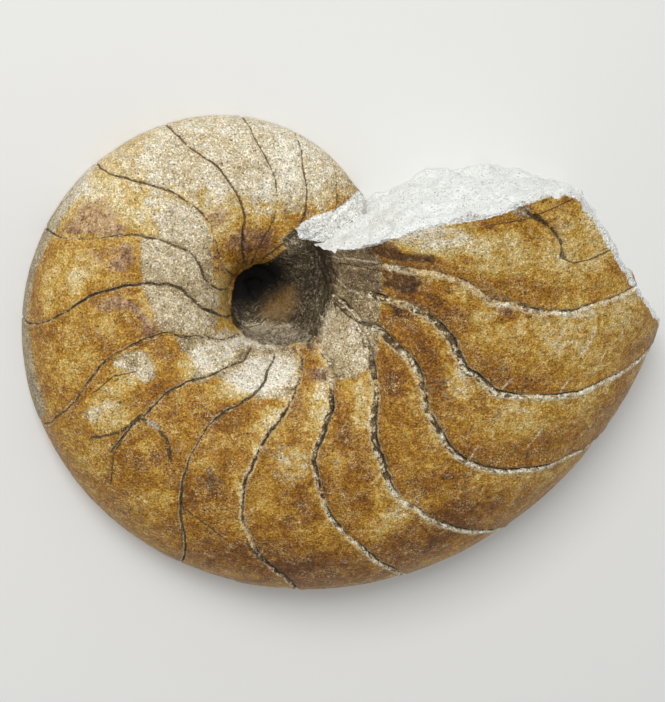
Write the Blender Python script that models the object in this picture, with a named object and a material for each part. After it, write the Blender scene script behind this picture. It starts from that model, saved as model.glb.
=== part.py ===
"""Half of a fossil nautilus: a coiled steinkern sawn through its median plane, lying on the sawn face.

The coil is one logarithmic spiral about +Z. It grows anticlockwise, and the sawn face is at Z = 0.
The body chamber's end is broken off along two rough faces, which stand almost upright.
"""

from math import cos, exp, pi, radians, sin

import bmesh
import bpy
from mathutils import Vector

NAME = "nautilus_half"
COLLECTION = "Fossil nautilus half"

# The coil. The venter is the outer edge of a whorl, and radii are measured from the coil's axis.
VENTER_RADIUS = 0.0540  # at the reference angle
REFERENCE_ANGLE = 180.0
GROWTH_PER_TURN = 3.55
# The section of a whorl, as shares of its venter radius.
HALF_WIDTH = 0.409  # from the sawn face up to the widest point of the flank
WIDEST_RADIUS = 0.474
WALL_FOOT_RADIUS = 0.130  # where the umbilical wall comes down to the median plane
FLANK_POWER = 2.5  # superellipse powers of the flank and of the umbilical wall
WALL_POWER = 2.4
SAWN_AWAY = 0.15  # how much of the other half is modelled before the saw cut, as a share of this half
FLANK_SEGMENTS = 12
WALL_SEGMENTS = 8

# The coil in stretches of less than a turn, from the newest to the oldest: the angles round the axis where each
# starts and ends, and its steps. Each one ends just inside the next newer one, so it is a little smaller.
STRETCHES = ((200.0, 410.0, 56), (-145.0, 205.0, 84), (-490.0, -140.0, 32))
SHRINK = 0.998

# The sutures: each is named by the angle of its saddle, which lies at the widest part of the flank.
SUTURE_ANGLES = (46, 64, 83, 104, 127, 148, 170, 194, 218, 240, 261.5, 282.5, 302, 320.5, 339.5, 359.5)
SUTURE_SPAN = (0.02, 0.84)  # from the venter towards the foot of the umbilical wall
SUTURE_SADDLE = 0.46
VENTER_LEAD = 16.0  # degrees by which a suture runs ahead of its saddle at the venter
WALL_LEAD = 125.0
SUTURE_STEPS = 14
SUTURE_GROOVE = 0.0007

# The matrix that fills the bottom of the umbilicus.
PLUG_RADIUS = 0.0040
PLUG_HEIGHT = 0.0020

# The broken end, in millimetres: the line of the break on the sawn face, and that line high up on the flank.
BREAK_FOOT_MM = ((2, 8), (12, 12.5), (26, 18.3), (36, 23.4), (46, 26.7), (57, 26.7), (71, 24.5), (79, 21.5),
                 (83, 16), (87, 8), (92, 0), (95.5, -6), (99, -12.5), (112, -20))
BREAK_TOP_MM = ((4, 9), (11, 11.6), (18, 14.8), (25, 18.2), (34, 20.4), (44, 21.8), (53, 24.6), (60, 26.4),
                (65, 24.8), (72, 14.5), (79, 4), (88, -5.2), (91, -7), (104, -14))
BREAK_TOP_HEIGHT = 0.045
OUTSIDE_MM = ((128, 110), (2, 110))  # far corners of the broken-off piece, clear of the coil

BREAK_CUTTER_HEIGHTS = (-0.010, 0.056)  # past the saw cut and past the top of the flank

SAW_SIZE = 0.40
FOSSIL_COLOUR = (0.47, 0.29, 0.11, 1.0)
FOSSIL_ROUGHNESS = 0.55
SHARP_ANGLE = 25.0


def clear_scene():
    for obj in list(bpy.data.objects):
        bpy.data.objects.remove(obj, do_unlink=True)


def new_collection(name):
    collection = bpy.data.collections.new(name)
    bpy.context.scene.collection.children.link(collection)
    return collection


def object_from(bm, name, collection):
    """The bmesh as an object of its own, facing out."""
    bmesh.ops.recalc_face_normals(bm, faces=bm.faces)
    mesh = bpy.data.meshes.new(name)
    bm.to_mesh(mesh)
    bm.free()
    obj = bpy.data.objects.new(name, mesh)
    collection.objects.link(obj)
    return obj


def loft(bm, rings):
    """A closed skin through rings of points that match one to one, capped at both ends."""
    rings = [[bm.verts.new(point) for point in ring] for ring in rings]
    for ring, after in zip(rings, rings[1:]):
        for i, vert in enumerate(ring):
            bm.faces.new((vert, after[i], after[i - 1], ring[i - 1]))
    bm.faces.new(rings[0])
    bm.faces.new(rings[-1])


def section_point(share):
    """(radius, height) on a section whose venter radius is 1. The share goes from 0 at the venter to 1 at the foot."""
    turn = pi * share
    if share <= 0.5:
        reach, power = 1.0 - WIDEST_RADIUS, FLANK_POWER
    else:
        reach, power = WALL_FOOT_RADIUS - WIDEST_RADIUS, WALL_POWER
    return WIDEST_RADIUS + reach * abs(cos(turn)) ** (2.0 / power), HALF_WIDTH * abs(sin(turn)) ** (2.0 / power)


def on_coil(angle, radius, height):
    """The point that a section's (radius, height) takes at an angle along the coil."""
    size = VENTER_RADIUS * GROWTH_PER_TURN ** ((angle - REFERENCE_ANGLE) / 360.0)
    along = radians(angle)
    return Vector((size * radius * cos(along), size * radius * sin(along), size * height))


def section_outline():
    """The section's closed outline. No point lies on the median plane, where the saw cuts."""
    shares = [0.5 * i / FLANK_SEGMENTS for i in range(1, FLANK_SEGMENTS)]
    shares += [0.5 + 0.5 * i / WALL_SEGMENTS for i in range(WALL_SEGMENTS)]
    below = -SAWN_AWAY * HALF_WIDTH
    return [(1.0, below)] + [section_point(share) for share in shares] + [(WALL_FOOT_RADIUS, below)]


def whorl(name, stretch, size, collection):
    start, end, steps = stretch
    bm = bmesh.new()
    outline = section_outline()
    angles = [start + (end - start) * i / steps for i in range(steps + 1)]
    loft(bm, [[size * on_coil(angle, *point) for point in outline] for angle in angles])
    return object_from(bm, name, collection)


def suture_angle(saddle, share):
    """Where a suture lies at a share of the section, in degrees along the coil."""
    if share < SUTURE_SADDLE:
        return saddle + VENTER_LEAD * (1.0 - exp(-(((SUTURE_SADDLE - share) / 0.2) ** 2)))
    past = share - SUTURE_SADDLE
    return saddle + WALL_LEAD * past**2 / (past + 0.08)


def suture_cutter(collection):
    """A square rod bent along every suture, half of it sunk in the surface."""
    curve = bpy.data.curves.new("suture lines", "CURVE")
    curve.dimensions = "3D"
    curve.bevel_depth = SUTURE_GROOVE
    curve.bevel_resolution = 0
    curve.use_fill_caps = True
    start, end = SUTURE_SPAN
    for saddle in SUTURE_ANGLES:
        spline = curve.splines.new("POLY")
        spline.points.add(SUTURE_STEPS - 1)
        for i, point in enumerate(spline.points):
            share = start + (end - start) * i / (SUTURE_STEPS - 1)
            point.co = (*on_coil(suture_angle(saddle, share), *section_point(share)), 1.0)
    lines = bpy.data.objects.new("suture lines", curve)
    collection.objects.link(lines)
    bm = bmesh.new()
    mesh = bpy.data.meshes.new_from_object(lines)
    bm.from_mesh(mesh)
    bpy.data.meshes.remove(mesh)
    bpy.data.objects.remove(lines)
    bmesh.ops.remove_doubles(bm, verts=bm.verts, dist=1e-6)
    return object_from(bm, "sutures", collection)


def umbilical_plug(collection):
    """The low dome of matrix on the coil's axis."""
    bm = bmesh.new()
    bmesh.ops.create_uvsphere(bm, u_segments=24, v_segments=12, radius=1.0)
    bmesh.ops.scale(bm, vec=(PLUG_RADIUS, PLUG_RADIUS, PLUG_HEIGHT), verts=bm.verts)
    return object_from(bm, "umbilical plug", collection)


def break_cutter(collection):
    """The end that is broken off, from below the sawn face to above the flank."""
    bm = bmesh.new()
    rings = []
    for height in BREAK_CUTTER_HEIGHTS:
        share = height / BREAK_TOP_HEIGHT
        line = [Vector(foot).lerp(Vector(top), share) for foot, top in zip(BREAK_FOOT_MM, BREAK_TOP_MM)]
        line += [Vector(corner) for corner in OUTSIDE_MM]
        rings.append([(x / 1000.0, y / 1000.0, height) for x, y in line])
    loft(bm, rings)
    return object_from(bm, "broken-off end", collection)


def saw_cutter(collection):
    """Everything below the median plane."""
    bm = bmesh.new()
    bmesh.ops.create_cube(bm, size=SAW_SIZE)
    bmesh.ops.translate(bm, vec=(0.0, 0.0, -0.5 * SAW_SIZE), verts=bm.verts)
    return object_from(bm, "saw", collection)


def boolean(obj, other, operation):
    modifier = obj.modifiers.new(f"{operation.lower()} {other.name}", "BOOLEAN")
    modifier.operation = operation
    modifier.object = other
    modifier.solver = "EXACT"
    other.hide_render = True
    other.display_type = "WIRE"


def fossil_material():
    material = bpy.data.materials.new("amber fossil limestone")
    material.use_nodes = True
    shader = material.node_tree.nodes["Principled BSDF"]
    shader.inputs["Base Color"].default_value = FOSSIL_COLOUR
    shader.inputs["Roughness"].default_value = FOSSIL_ROUGHNESS
    shader.inputs["Metallic"].default_value = 0.0
    return material


def main():
    clear_scene()
    parts = new_collection(COLLECTION)
    cutters = new_collection("Cutters")

    fossil = whorl(NAME, STRETCHES[0], 1.0, parts)
    boolean(fossil, break_cutter(cutters), "DIFFERENCE")
    for age, stretch in enumerate(STRETCHES[1:], start=1):
        boolean(fossil, whorl(f"earlier whorl {age}", stretch, SHRINK**age, cutters), "UNION")
    boolean(fossil, umbilical_plug(cutters), "UNION")
    boolean(fossil, suture_cutter(cutters), "DIFFERENCE")
    boolean(fossil, saw_cutter(cutters), "DIFFERENCE")
    fossil.data.materials.append(fossil_material())
    fossil.data.shade_smooth()
    fossil.data.set_sharp_from_angle(angle=radians(SHARP_ANGLE))


main()
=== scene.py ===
"""The looks of a fossil nautilus half: a coiled stone cast with sutures, a broken end and a sawn face.

The coil is charted flat first, with one row of points along each suture and more rows between them, and one
column for each place round a whorl's section. Geometry Nodes bend the chart into the coil. The broken end
and the sawn face are then cut. Three finishes dress the one piece: weathered stone, a fresh break and a
polished saw cut.
"""

from math import pi, radians

import bmesh
import bpy
import numpy as np
from mathutils import Matrix, Vector


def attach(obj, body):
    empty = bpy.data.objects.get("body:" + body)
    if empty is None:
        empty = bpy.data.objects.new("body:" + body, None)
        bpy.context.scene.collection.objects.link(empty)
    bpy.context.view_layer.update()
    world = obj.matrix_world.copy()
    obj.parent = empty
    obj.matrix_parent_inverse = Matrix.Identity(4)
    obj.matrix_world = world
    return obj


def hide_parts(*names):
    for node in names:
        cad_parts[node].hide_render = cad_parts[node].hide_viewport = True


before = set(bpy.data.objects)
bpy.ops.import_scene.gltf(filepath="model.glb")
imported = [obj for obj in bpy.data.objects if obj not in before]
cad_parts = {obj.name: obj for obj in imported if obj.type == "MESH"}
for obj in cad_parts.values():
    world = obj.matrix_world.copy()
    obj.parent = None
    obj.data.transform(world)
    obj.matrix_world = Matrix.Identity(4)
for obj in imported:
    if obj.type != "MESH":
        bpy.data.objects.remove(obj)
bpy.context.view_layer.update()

MM = 0.001  # metres

# The coil, as the construction has it. Lengths are in millimetres and angles in degrees.
VENTER_RADIUS = 54.0  # at the reference angle
REFERENCE_ANGLE = 180.0
GROWTH_PER_TURN = 3.55
HALF_WIDTH = 0.409
WIDEST_RADIUS = 0.474
WALL_FOOT_RADIUS = 0.130
FLANK_POWER = 2.5
WALL_POWER = 2.4

# Each suture: the angle and the share of its saddle, how many degrees it leads at the venter and down the
# umbilical wall, the share over which the wall lead builds up, and how strongly it shows. A share runs from
# 0 at the venter to 1 at the foot of the umbilical wall.
SUTURES = (
    (46, 0.44, 13, 34, 0.25, 0.62),
    (62, 0.51, 13, 36, 0.25, 0.8),
    (82, 0.49, 12, 34, 0.26, 0.85),
    (104, 0.50, 14, 15, 0.15, 0.95),
    (127, 0.49, 14, 29, 0.24, 1.0),
    (148, 0.52, 15, 30, 0.21, 0.9),
    (169, 0.51, 17, 99, 0.49, 1.1),
    (194, 0.51, 16, 106, 0.51, 1.15),
    (219, 0.50, 5, 66, 0.39, 0.8),
    (240, 0.49, 13, 46, 0.27, 1.0),
    (260, 0.45, 17, 88, 0.49, 0.9),
    (283, 0.49, 13, 40, 0.21, 1.0),
    (302, 0.46, 13, 78, 0.36, 1.0),
    (320, 0.45, 17, 31, 0.17, 1.1),
    (339, 0.47, 13, 29, 0.14, 1.1),
    (359, 0.45, 8, 28, 0.19, 0.8),
)
EARLY_SPACING = 19.0  # between the sutures of the inner whorls
EARLY_SHAPE = (0.48, 13, 34, 0.25, 0.7)
EARLIEST_SUTURE = -460.0
VENTER_SPREAD = 0.20  # the share over which the venter lead builds up
WALL_RISE = 1.6  # how suddenly the wall lead builds up
LEAST_GAP = 4.0  # degrees kept between neighbouring sutures
OUTER_ENDS = {219: 0.30}  # sutures that stop short of the venter, and the share where they do


def every_suture():
    """All sutures from the oldest to the newest."""
    oldest = SUTURES[0][0]
    count = int((oldest - EARLIEST_SUTURE) / EARLY_SPACING)
    early = [(oldest - EARLY_SPACING * i,) + EARLY_SHAPE for i in range(count, 0, -1)]
    return early + list(SUTURES)


def section(share):
    """Radius and height on a section whose venter radius is 1, for an array of shares."""
    turn = pi * np.clip(share, 0.0, 1.0)
    flank = share <= 0.5
    reach = np.where(flank, 1.0, WALL_FOOT_RADIUS) - WIDEST_RADIUS
    power = 2.0 / np.where(flank, FLANK_POWER, WALL_POWER)
    radius = WIDEST_RADIUS + reach * np.abs(np.cos(turn)) ** power
    return radius, HALF_WIDTH * np.abs(np.sin(turn)) ** power


def venter_radius(angle):
    """The coil's outline at an angle."""
    return VENTER_RADIUS * GROWTH_PER_TURN ** ((angle - REFERENCE_ANGLE) / 360.0)


def on_coil(angle, share):
    """The points, in millimetres, at arrays of angles and shares."""
    radius, height = section(share)
    size = venter_radius(angle)
    along = np.radians(angle)
    return np.stack([size * radius * np.cos(along), size * radius * np.sin(along), size * height], axis=-1)


# ---------------------------------------------------------------- the chart of the coil

# The coil is made in four stretches. Two neighbours share a suture: each dives under the other in the bottom
# of its groove and runs on, sunk, to a plain end.
SHARED_SADDLES = (-220.0, -30.0, 194.0)
NEWEST_END = 410.0
OLDEST_START = -500.0
START_BEFORE = 10.0  # degrees from a sunk plain end to the shared saddle
END_AFTER = 74.0
SUNK = 1.6  # how deep the sunk rows lie
CROSSING = 0.3  # how far past the shared suture a stretch starts to dive

NEAR_ROWS = (-2.6, -1.9, -1.4, -1.0, -0.7, -0.45, -0.22, 0.0, 0.22, 0.45, 0.7, 1.0, 1.4, 1.9, 2.6)
NEAR_REACH = 7.0  # rows near a suture draw together where the next suture is closer than this
ROW_STEP = 0.75
COLUMN_STEP = 0.70
FINE_SHARES = 2001  # shares at which a section's length is measured
LEAST_ROOM = 0.03  # the closest that rows near a suture draw together
GAP_PERCENTILE = 75  # the gap between two sutures that the even rows are counted for
FAR = 99.0  # the distance to a suture that is not there
SKIRT = (0.9, 2.2)  # how far below the sawn face the columns past the two edges hang
BURIED_STEPS = 4

SEED = 7
WEIGHT_SEED = 1007
ZIGZAG = ((5.0, 0.40), (1.7, 0.22))  # steps along a suture and depths of its jags
ZIGZAG_FULL = 50.0  # venter radius from which the jags have their full depth


def ragged(rng, places, step, depth):
    """A zigzag over the places, with a new random point about every step."""
    knots = np.arange(places.min() - step, places.max() + 2.0 * step, step)
    return np.interp(places, knots, rng.uniform(-depth, depth, len(knots)))


def suture_line(suture, share):
    """The angle of a suture at each share."""
    saddle, saddle_share, venter_lead, wall_lead, wall_spread, _ = suture
    outside = np.clip(saddle_share - share, 0.0, None)
    inside = np.clip(share - saddle_share, 0.0, None)
    lead = venter_lead * (1.0 - np.exp(-((outside / VENTER_SPREAD) ** 2)))
    return saddle + lead + wall_lead * (1.0 - np.exp(-((inside / wall_spread) ** WALL_RISE)))


class Stretch:
    """A stretch of the coil: rows of angles over columns of shares, and what is known about each point."""

    def __init__(self, sutures, start, end, sunk_start, sunk_end):
        self.sutures = sutures
        self.sunk_start = sunk_start
        self.sunk_end = sunk_end
        self.share, self.length = self.columns(venter_radius(0.5 * (start + end)))
        self.rows = []
        lines = []
        for suture in sutures:
            line = self.jagged(suture_line(suture, self.share), suture)
            lines.append(np.maximum(line, lines[-1] + LEAST_GAP) if lines else line)
        bounds = [np.full(len(self.share), start)] + lines + [np.full(len(self.share), end)]
        self.fill(bounds)
        angle, seam, number, sunk = (np.stack(part) for part in zip(*self.rows))
        self.angle, self.seam, self.number, self.sunk = angle, seam, number, sunk

    def columns(self, size):
        """Shares spaced evenly round the section, and the length of a unit section up to each."""
        fine = np.linspace(0.0, 1.0, FINE_SHARES)
        radius, height = section(fine)
        length = np.concatenate([[0.0], np.cumsum(np.hypot(np.diff(radius), np.diff(height)))])
        wanted = np.linspace(0.0, length[-1], int(size * length[-1] / COLUMN_STEP) + 1)
        return np.interp(wanted, length, fine), wanted

    def jagged(self, line, suture):
        """The line with the zigzags of its suture, the same whichever stretch it is worked out for."""
        rng = np.random.default_rng(SEED + int(suture[0] - EARLIEST_SUTURE))
        size = venter_radius(suture[0])
        across = self.across(line)
        for step, depth in ZIGZAG:
            jags = ragged(rng, self.length * size, step, depth)
            line = line + jags * across * min(1.0, size / ZIGZAG_FULL)
        return line

    def across(self, line):
        """Degrees along the coil for a millimetre straight across the line."""
        arm = venter_radius(line) * section(self.share)[0]
        slope = np.gradient(np.radians(line), self.length) * section(self.share)[0]
        return np.degrees(np.sqrt(1.0 + slope**2) / arm)

    def add(self, angle, seam, number, sunk):
        """Adds a row: angles, distances from the nearest suture, its number, and how deep it is sunk."""
        flat = np.ones(len(self.share))
        self.rows.append((angle, seam * flat, number * flat, sunk * flat))

    def fill(self, bounds):
        """All rows: close ones beside each suture and even ones from suture to suture."""
        last = len(self.sutures) - 1
        for i, line in enumerate(bounds[1:-1]):
            before, after = bounds[i], bounds[i + 2]
            across = self.across(line)
            room_before = self.room(line - before, across)
            room_after = self.room(after - line, across)
            if i == 0:
                first_row = line + NEAR_ROWS[0] * room_before * across
                self.fill_between(before, first_row, None, line, 0, self.sunk_start)
            for offset in NEAR_ROWS:
                away = offset * (room_before if offset < 0.0 else room_after)
                dives = (self.sunk_start and i == 0 and offset < -CROSSING) or (
                    self.sunk_end and i == last and offset > CROSSING)
                self.add(line + away * across, away, i, SUNK if dives else 0.0)
            edge = line + NEAR_ROWS[-1] * room_after * across
            if i == last:
                self.fill_between(edge, after, line, None, i, self.sunk_end)
                self.add(after, FAR, i, SUNK if self.sunk_end else 0.0)
            else:
                next_across = self.across(after)
                next_edge = after + NEAR_ROWS[0] * self.room(after - line, next_across) * next_across
                self.fill_between(edge, next_edge, line, after, i, False)

    def room(self, gap, across):
        """How far the rows near a suture spread towards the next one, of their full reach."""
        return np.clip(gap / across / NEAR_REACH, LEAST_ROOM, 1.0)

    def fill_between(self, edge, next_edge, line, after, i, sunk):
        """Even rows from one edge up to the next one, both left out unless the stretch starts there."""
        gap = np.percentile((next_edge - edge) / self.across(edge), GAP_PERCENTILE)
        steps = BURIED_STEPS if sunk else max(2, int(gap / ROW_STEP))
        for k in range(0 if line is None else 1, steps):
            angle = edge + (next_edge - edge) * k / steps
            behind = FAR if line is None else (angle - line) / self.across(angle)
            ahead = FAR if after is None else (after - angle) / self.across(angle)
            nearer = behind < ahead
            number = np.where(nearer, i, i if line is None else i + 1)
            self.add(angle, np.where(nearer, behind, -ahead), number, SUNK if sunk else 0.0)


def stretches():
    """The four stretches, oldest first."""
    everything = every_suture()
    saddles = np.array([suture[0] for suture in everything], float)
    shared = [int(np.argmin(np.abs(saddles - angle))) for angle in SHARED_SADDLES]
    firsts = [0] + shared
    lasts = shared + [len(everything) - 1]
    made = []
    for first, last in zip(firsts, lasts):
        oldest, newest = first == 0, last == len(everything) - 1
        start = OLDEST_START if oldest else saddles[first] - START_BEFORE
        end = NEWEST_END if newest else saddles[last] + END_AFTER
        made.append(Stretch(everything[first:last + 1], start, end, not oldest, not newest))
    return made


# ---------------------------------------------------------------- relief of the outside

# Profiles across a suture: the distance from it, newer side positive, and the height, in millimetres.
GROOVE = ((-1.4, 0.02), (-0.7, 0.04), (-0.45, -0.04), (-0.22, -0.30), (0.0, -0.55), (0.22, -0.30),
          (0.45, -0.02), (0.7, 0.06), (1.4, 0.02))
STEP = ((-2.6, 0.0), (-1.9, 0.03), (-1.4, 0.14), (-1.0, 0.26), (-0.7, 0.28), (-0.45, 0.18), (-0.22, -0.10),
        (0.0, -0.50), (0.22, -0.30), (0.45, 0.14), (0.7, 0.34), (1.0, 0.40), (1.9, 0.30), (2.6, 0.18),
        (6.0, 0.0))
SUTURE_FADES = (0.84, 0.92)  # shares between which a suture fades out down the umbilical wall
SMOOTH_UNTIL = 40.0  # the older, inner whorls show no sutures
STEP_STARTS = 250.0  # newer sutures stand in a step, with a crystalline lip on the older side
SWELL = 0.25  # how far a newer chamber swells between its sutures
SWELL_BUILD = (1.5, 7.0)  # distances from the suture between which it builds up
SWELL_FADES = (0.7, 0.9)  # shares between which it fades out down the umbilical wall
TIP_RISE = 0.5  # how far the blunt inner end of the break stands out
FULL_SIZE = 54.0  # venter radius from which the relief has its full depth
GROOVE_HALF_WIDTH = 0.56
GROOVE_DARK = 0.92  # how dark an older suture's groove is
# a newer, stepped suture's groove is darkened partly for its own colour and partly as painted shadow under
# the step's edge
STEP_DARK_AND_SHADOW = 0.74  # and a newer one's
FLANK_FROM = (0.58, 0.69)  # shares between which the grey inner flank begins
FLANK_FAINT = 0.34  # how much fainter a newer suture's groove is there
BARE_GROOVES_FROM = 170.0  # older sutures keep their groove on bare patches
WEIGHT_ZIGZAG = ((4.0, 0.30), (1.5, 0.25))  # steps and depths of the changes in how strongly a suture shows
OUTER_END_FADE = 0.02  # the share over which a suture that stops short fades out
CRUST_SLOPE = 0.6  # half the width of the crust's sloping edge
BARE_DEPTH = 0.3  # how much of a suture's relief is left on a bare patch
MATRIX_ROUGHNESS = 3.0  # how much rougher the matrix is, and the inner end of the break
TIP_ROUGHNESS = 4.0
# The crystals along a suture: how many, where their middle lies and their half width, how pale they are on
# the flank and how pale beyond it, towards the venter.
LIPS = {
    127: (0.40, 0.00, 0.60, 0.05, 0.05),
    148: (0.46, 0.00, 0.62, 0.05, 0.05),
    169: (0.40, 0.00, 0.62, 0.10, 0.05),
    194: (0.48, -0.05, 0.70, 0.00, 0.00),
    219: (0.54, -0.08, 0.66, 0.05, 0.10),
    240: (0.44, -0.10, 0.66, 0.05, 0.08),
    260: (0.76, -0.22, 0.92, 0.02, 0.15),
    283: (0.84, -0.40, 1.08, 0.08, 0.35),
    302: (0.92, -0.52, 1.25, 0.12, 0.60),
    320: (0.90, -0.50, 1.18, 0.08, 0.46),
    339: (0.92, -0.55, 1.30, 0.16, 0.70),
    359: (0.80, -0.52, 1.20, 0.42, 0.58),
}
NO_LIP = (0.0, 0.0, 1.0, 0.0, 0.0)
PALE_FROM = (0.36, 0.52)  # shares between which the crystals turn into those on the flank
DRIFT_DEEP = (-0.13, 3.0)  # tone just on the newer side of a step, and the length over which it fades
DRIFT_PALE = (0.10, 3.5)  # and on the older side
DRIFT_START = 1.0  # where on the older side the paler tone is fullest
DRIFT_FADES = (0.72, 0.86)  # shares between which the drift fades out down the umbilical wall
HALO = (-0.10, 1.6)  # tone beside an older suture, and the length over which it fades


def smooth(value, low, high):
    """A soft step from 0 at low to 1 at high."""
    x = np.clip((value - low) / (high - low), 0.0, 1.0)
    return x * x * (3.0 - 2.0 * x)


def profile(distance, points):
    """The height of a profile at each distance."""
    places, heights = zip(*points)
    return np.interp(distance, places, heights)


def suture_weights(stretch):
    """How strongly each suture shows at each column."""
    weights = []
    for suture in stretch.sutures:
        rng = np.random.default_rng(WEIGHT_SEED + int(suture[0] - EARLIEST_SUTURE))
        places = stretch.length * venter_radius(suture[0])
        changes = [ragged(rng, places, step, depth) for step, depth in WEIGHT_ZIGZAG]
        weight = suture[5] * sum(changes, 1.0)
        if suture[0] in OUTER_ENDS:
            end = OUTER_ENDS[suture[0]]
            weight = weight * smooth(stretch.share, end, end + OUTER_END_FADE)
        weights.append(weight * (1.0 - smooth(stretch.share, *SUTURE_FADES)) * (suture[0] > SMOOTH_UNTIL))
    return np.stack(weights)


def outside_relief(stretch):
    """Adds the relief in millimetres and the suture masks to the stretch."""
    number = stretch.number.astype(int)
    column = np.arange(len(stretch.share))[None, :]
    saddle = np.array([suture[0] for suture in stretch.sutures], float)[number]
    weight = suture_weights(stretch)[number, column]
    stepped = saddle > STEP_STARTS
    size = np.minimum(1.0, venter_radius(stretch.angle) / FULL_SIZE)
    across = np.where(stepped, profile(stretch.seam, STEP), profile(stretch.seam, GROOVE))
    swell = SWELL * smooth(np.abs(stretch.seam), *SWELL_BUILD) * stepped
    swell = swell * (1.0 - smooth(stretch.share, *SWELL_FADES))
    looks = np.array([LIPS.get(suture[0], NO_LIP) for suture in stretch.sutures])[number]
    amount, middle, half_width, on_flank, beyond = np.moveaxis(looks, -1, 0)
    stretch.groove = weight * np.clip(1.0 - np.abs(stretch.seam) / GROOVE_HALF_WIDTH, 0.0, 1.0)
    faint = 1.0 - FLANK_FAINT * smooth(stretch.share, *FLANK_FROM)
    stretch.groove = stretch.groove * np.where(stepped, STEP_DARK_AND_SHADOW * faint, GROOVE_DARK)
    stretch.lip = weight * amount * np.clip(1.0 - np.abs(stretch.seam - middle) / half_width, 0.0, 1.0)
    stretch.pale = beyond + (on_flank - beyond) * smooth(stretch.share, *PALE_FROM)
    deep = DRIFT_DEEP[0] * np.exp(-stretch.seam / DRIFT_DEEP[1])
    pale = DRIFT_PALE[0] * np.exp((stretch.seam + DRIFT_START) / DRIFT_PALE[1])
    drift = np.where(stretch.seam > 0.0, deep, np.minimum(pale, DRIFT_PALE[0]))
    halo = HALO[0] * weight * np.exp(-np.abs(stretch.seam) / HALO[1])
    stretch.drift = np.where(stepped, drift, halo) * (1.0 - smooth(stretch.share, *DRIFT_FADES))
    points = on_coil(stretch.angle, stretch.share).reshape(-1, 3)
    kept = 1.0 - bareness(points).reshape(stretch.angle.shape)
    stretch.lip = stretch.lip * kept
    stretch.groove = stretch.groove * np.maximum(kept, saddle < BARE_GROOVES_FROM)
    matrix = most(points, regions=MATRIX_REGIONS)
    rise = CRUST_HEIGHT * smooth(crust_side(points), -CRUST_SLOPE, CRUST_SLOPE)
    rise = rise - gouge_depth(points) * (saddle.ravel() > 0.0)
    rise = rise.reshape(stretch.angle.shape)
    tip = most(points, regions=TIP_REGIONS)
    rougher = MATRIX_ROUGHNESS * np.clip(matrix, 0.0, 1.0) + TIP_ROUGHNESS * tip
    stretch.roughness = 1.0 + rougher.reshape(stretch.angle.shape)
    rise += TIP_RISE * tip.reshape(stretch.angle.shape)
    sutured = across * weight * (BARE_DEPTH + (1.0 - BARE_DEPTH) * kept)
    stretch.relief = size * (sutured + swell - stretch.sunk) + rise


# ---------------------------------------------------------------- node helpers

class Nodes:
    """Short ways to add nodes to a shader or geometry tree."""

    def __init__(self, tree):
        self.tree = tree

    def add(self, kind, **settings):
        node = self.tree.nodes.new(kind)
        for name, value in settings.items():
            setattr(node, name, value)
        return node

    def feed(self, socket, value):
        if isinstance(value, bpy.types.NodeSocket):
            self.tree.links.new(value, socket)
        else:
            socket.default_value = value

    def math(self, operation, *values, clamp=False):
        node = self.add("ShaderNodeMath", operation=operation, use_clamp=clamp)
        for socket, value in zip(node.inputs, values):
            self.feed(socket, value)
        return node.outputs[0]

    def vector(self, operation, first, second=None, scale=None):
        node = self.add("ShaderNodeVectorMath", operation=operation)
        self.feed(node.inputs[0], first)
        if second is not None:
            self.feed(node.inputs[1], second)
        if scale is not None:
            self.feed(node.inputs["Scale"], scale)
        return node.outputs["Value" if operation in ("LENGTH", "DOT_PRODUCT") else "Vector"]

    def separate(self, vector):
        node = self.add("ShaderNodeSeparateXYZ")
        self.feed(node.inputs[0], vector)
        return node.outputs

    def combine(self, x, y, z):
        node = self.add("ShaderNodeCombineXYZ")
        for socket, value in zip(node.inputs, (x, y, z)):
            self.feed(socket, value)
        return node.outputs[0]

    def noise(self, vector, scale, detail, roughness, distortion=0.0):
        node = self.add("ShaderNodeTexNoise")
        self.feed(node.inputs["Vector"], vector)
        names = ("Scale", "Detail", "Roughness", "Distortion")
        for name, value in zip(names, (scale, detail, roughness, distortion)):
            self.feed(node.inputs[name], value)
        return node.outputs[0]


def new_tree(name, kind, inputs, outputs):
    """A node tree with named sockets. Each socket is its name, its type and, on an input, its value."""
    tree = bpy.data.node_groups.new(name, kind)
    for socket_name, socket_type, *value in inputs:
        socket = tree.interface.new_socket(socket_name, in_out="INPUT", socket_type=socket_type)
        if value:
            socket.default_value = value[0]
    for socket_name, socket_type in outputs:
        tree.interface.new_socket(socket_name, in_out="OUTPUT", socket_type=socket_type)
    nodes = Nodes(tree)
    return tree, nodes, nodes.add("NodeGroupInput").outputs, nodes.add("NodeGroupOutput").inputs


# ---------------------------------------------------------------- the coil and the rough stone

FLOAT = "NodeSocketFloat"
GEOMETRY = "NodeSocketGeometry"
SHAPE_OUT = (("Geometry", GEOMETRY),)
ROUGHNESS_SOCKETS = (
    ("Swell Size", FLOAT, 0.009),
    ("Swell Height", FLOAT, 0.00016),
    ("Grain Size", FLOAT, 0.0016),
    ("Grain Height", FLOAT, 0.00012),
)
NOISE_ROUGHNESS = 0.6


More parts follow.
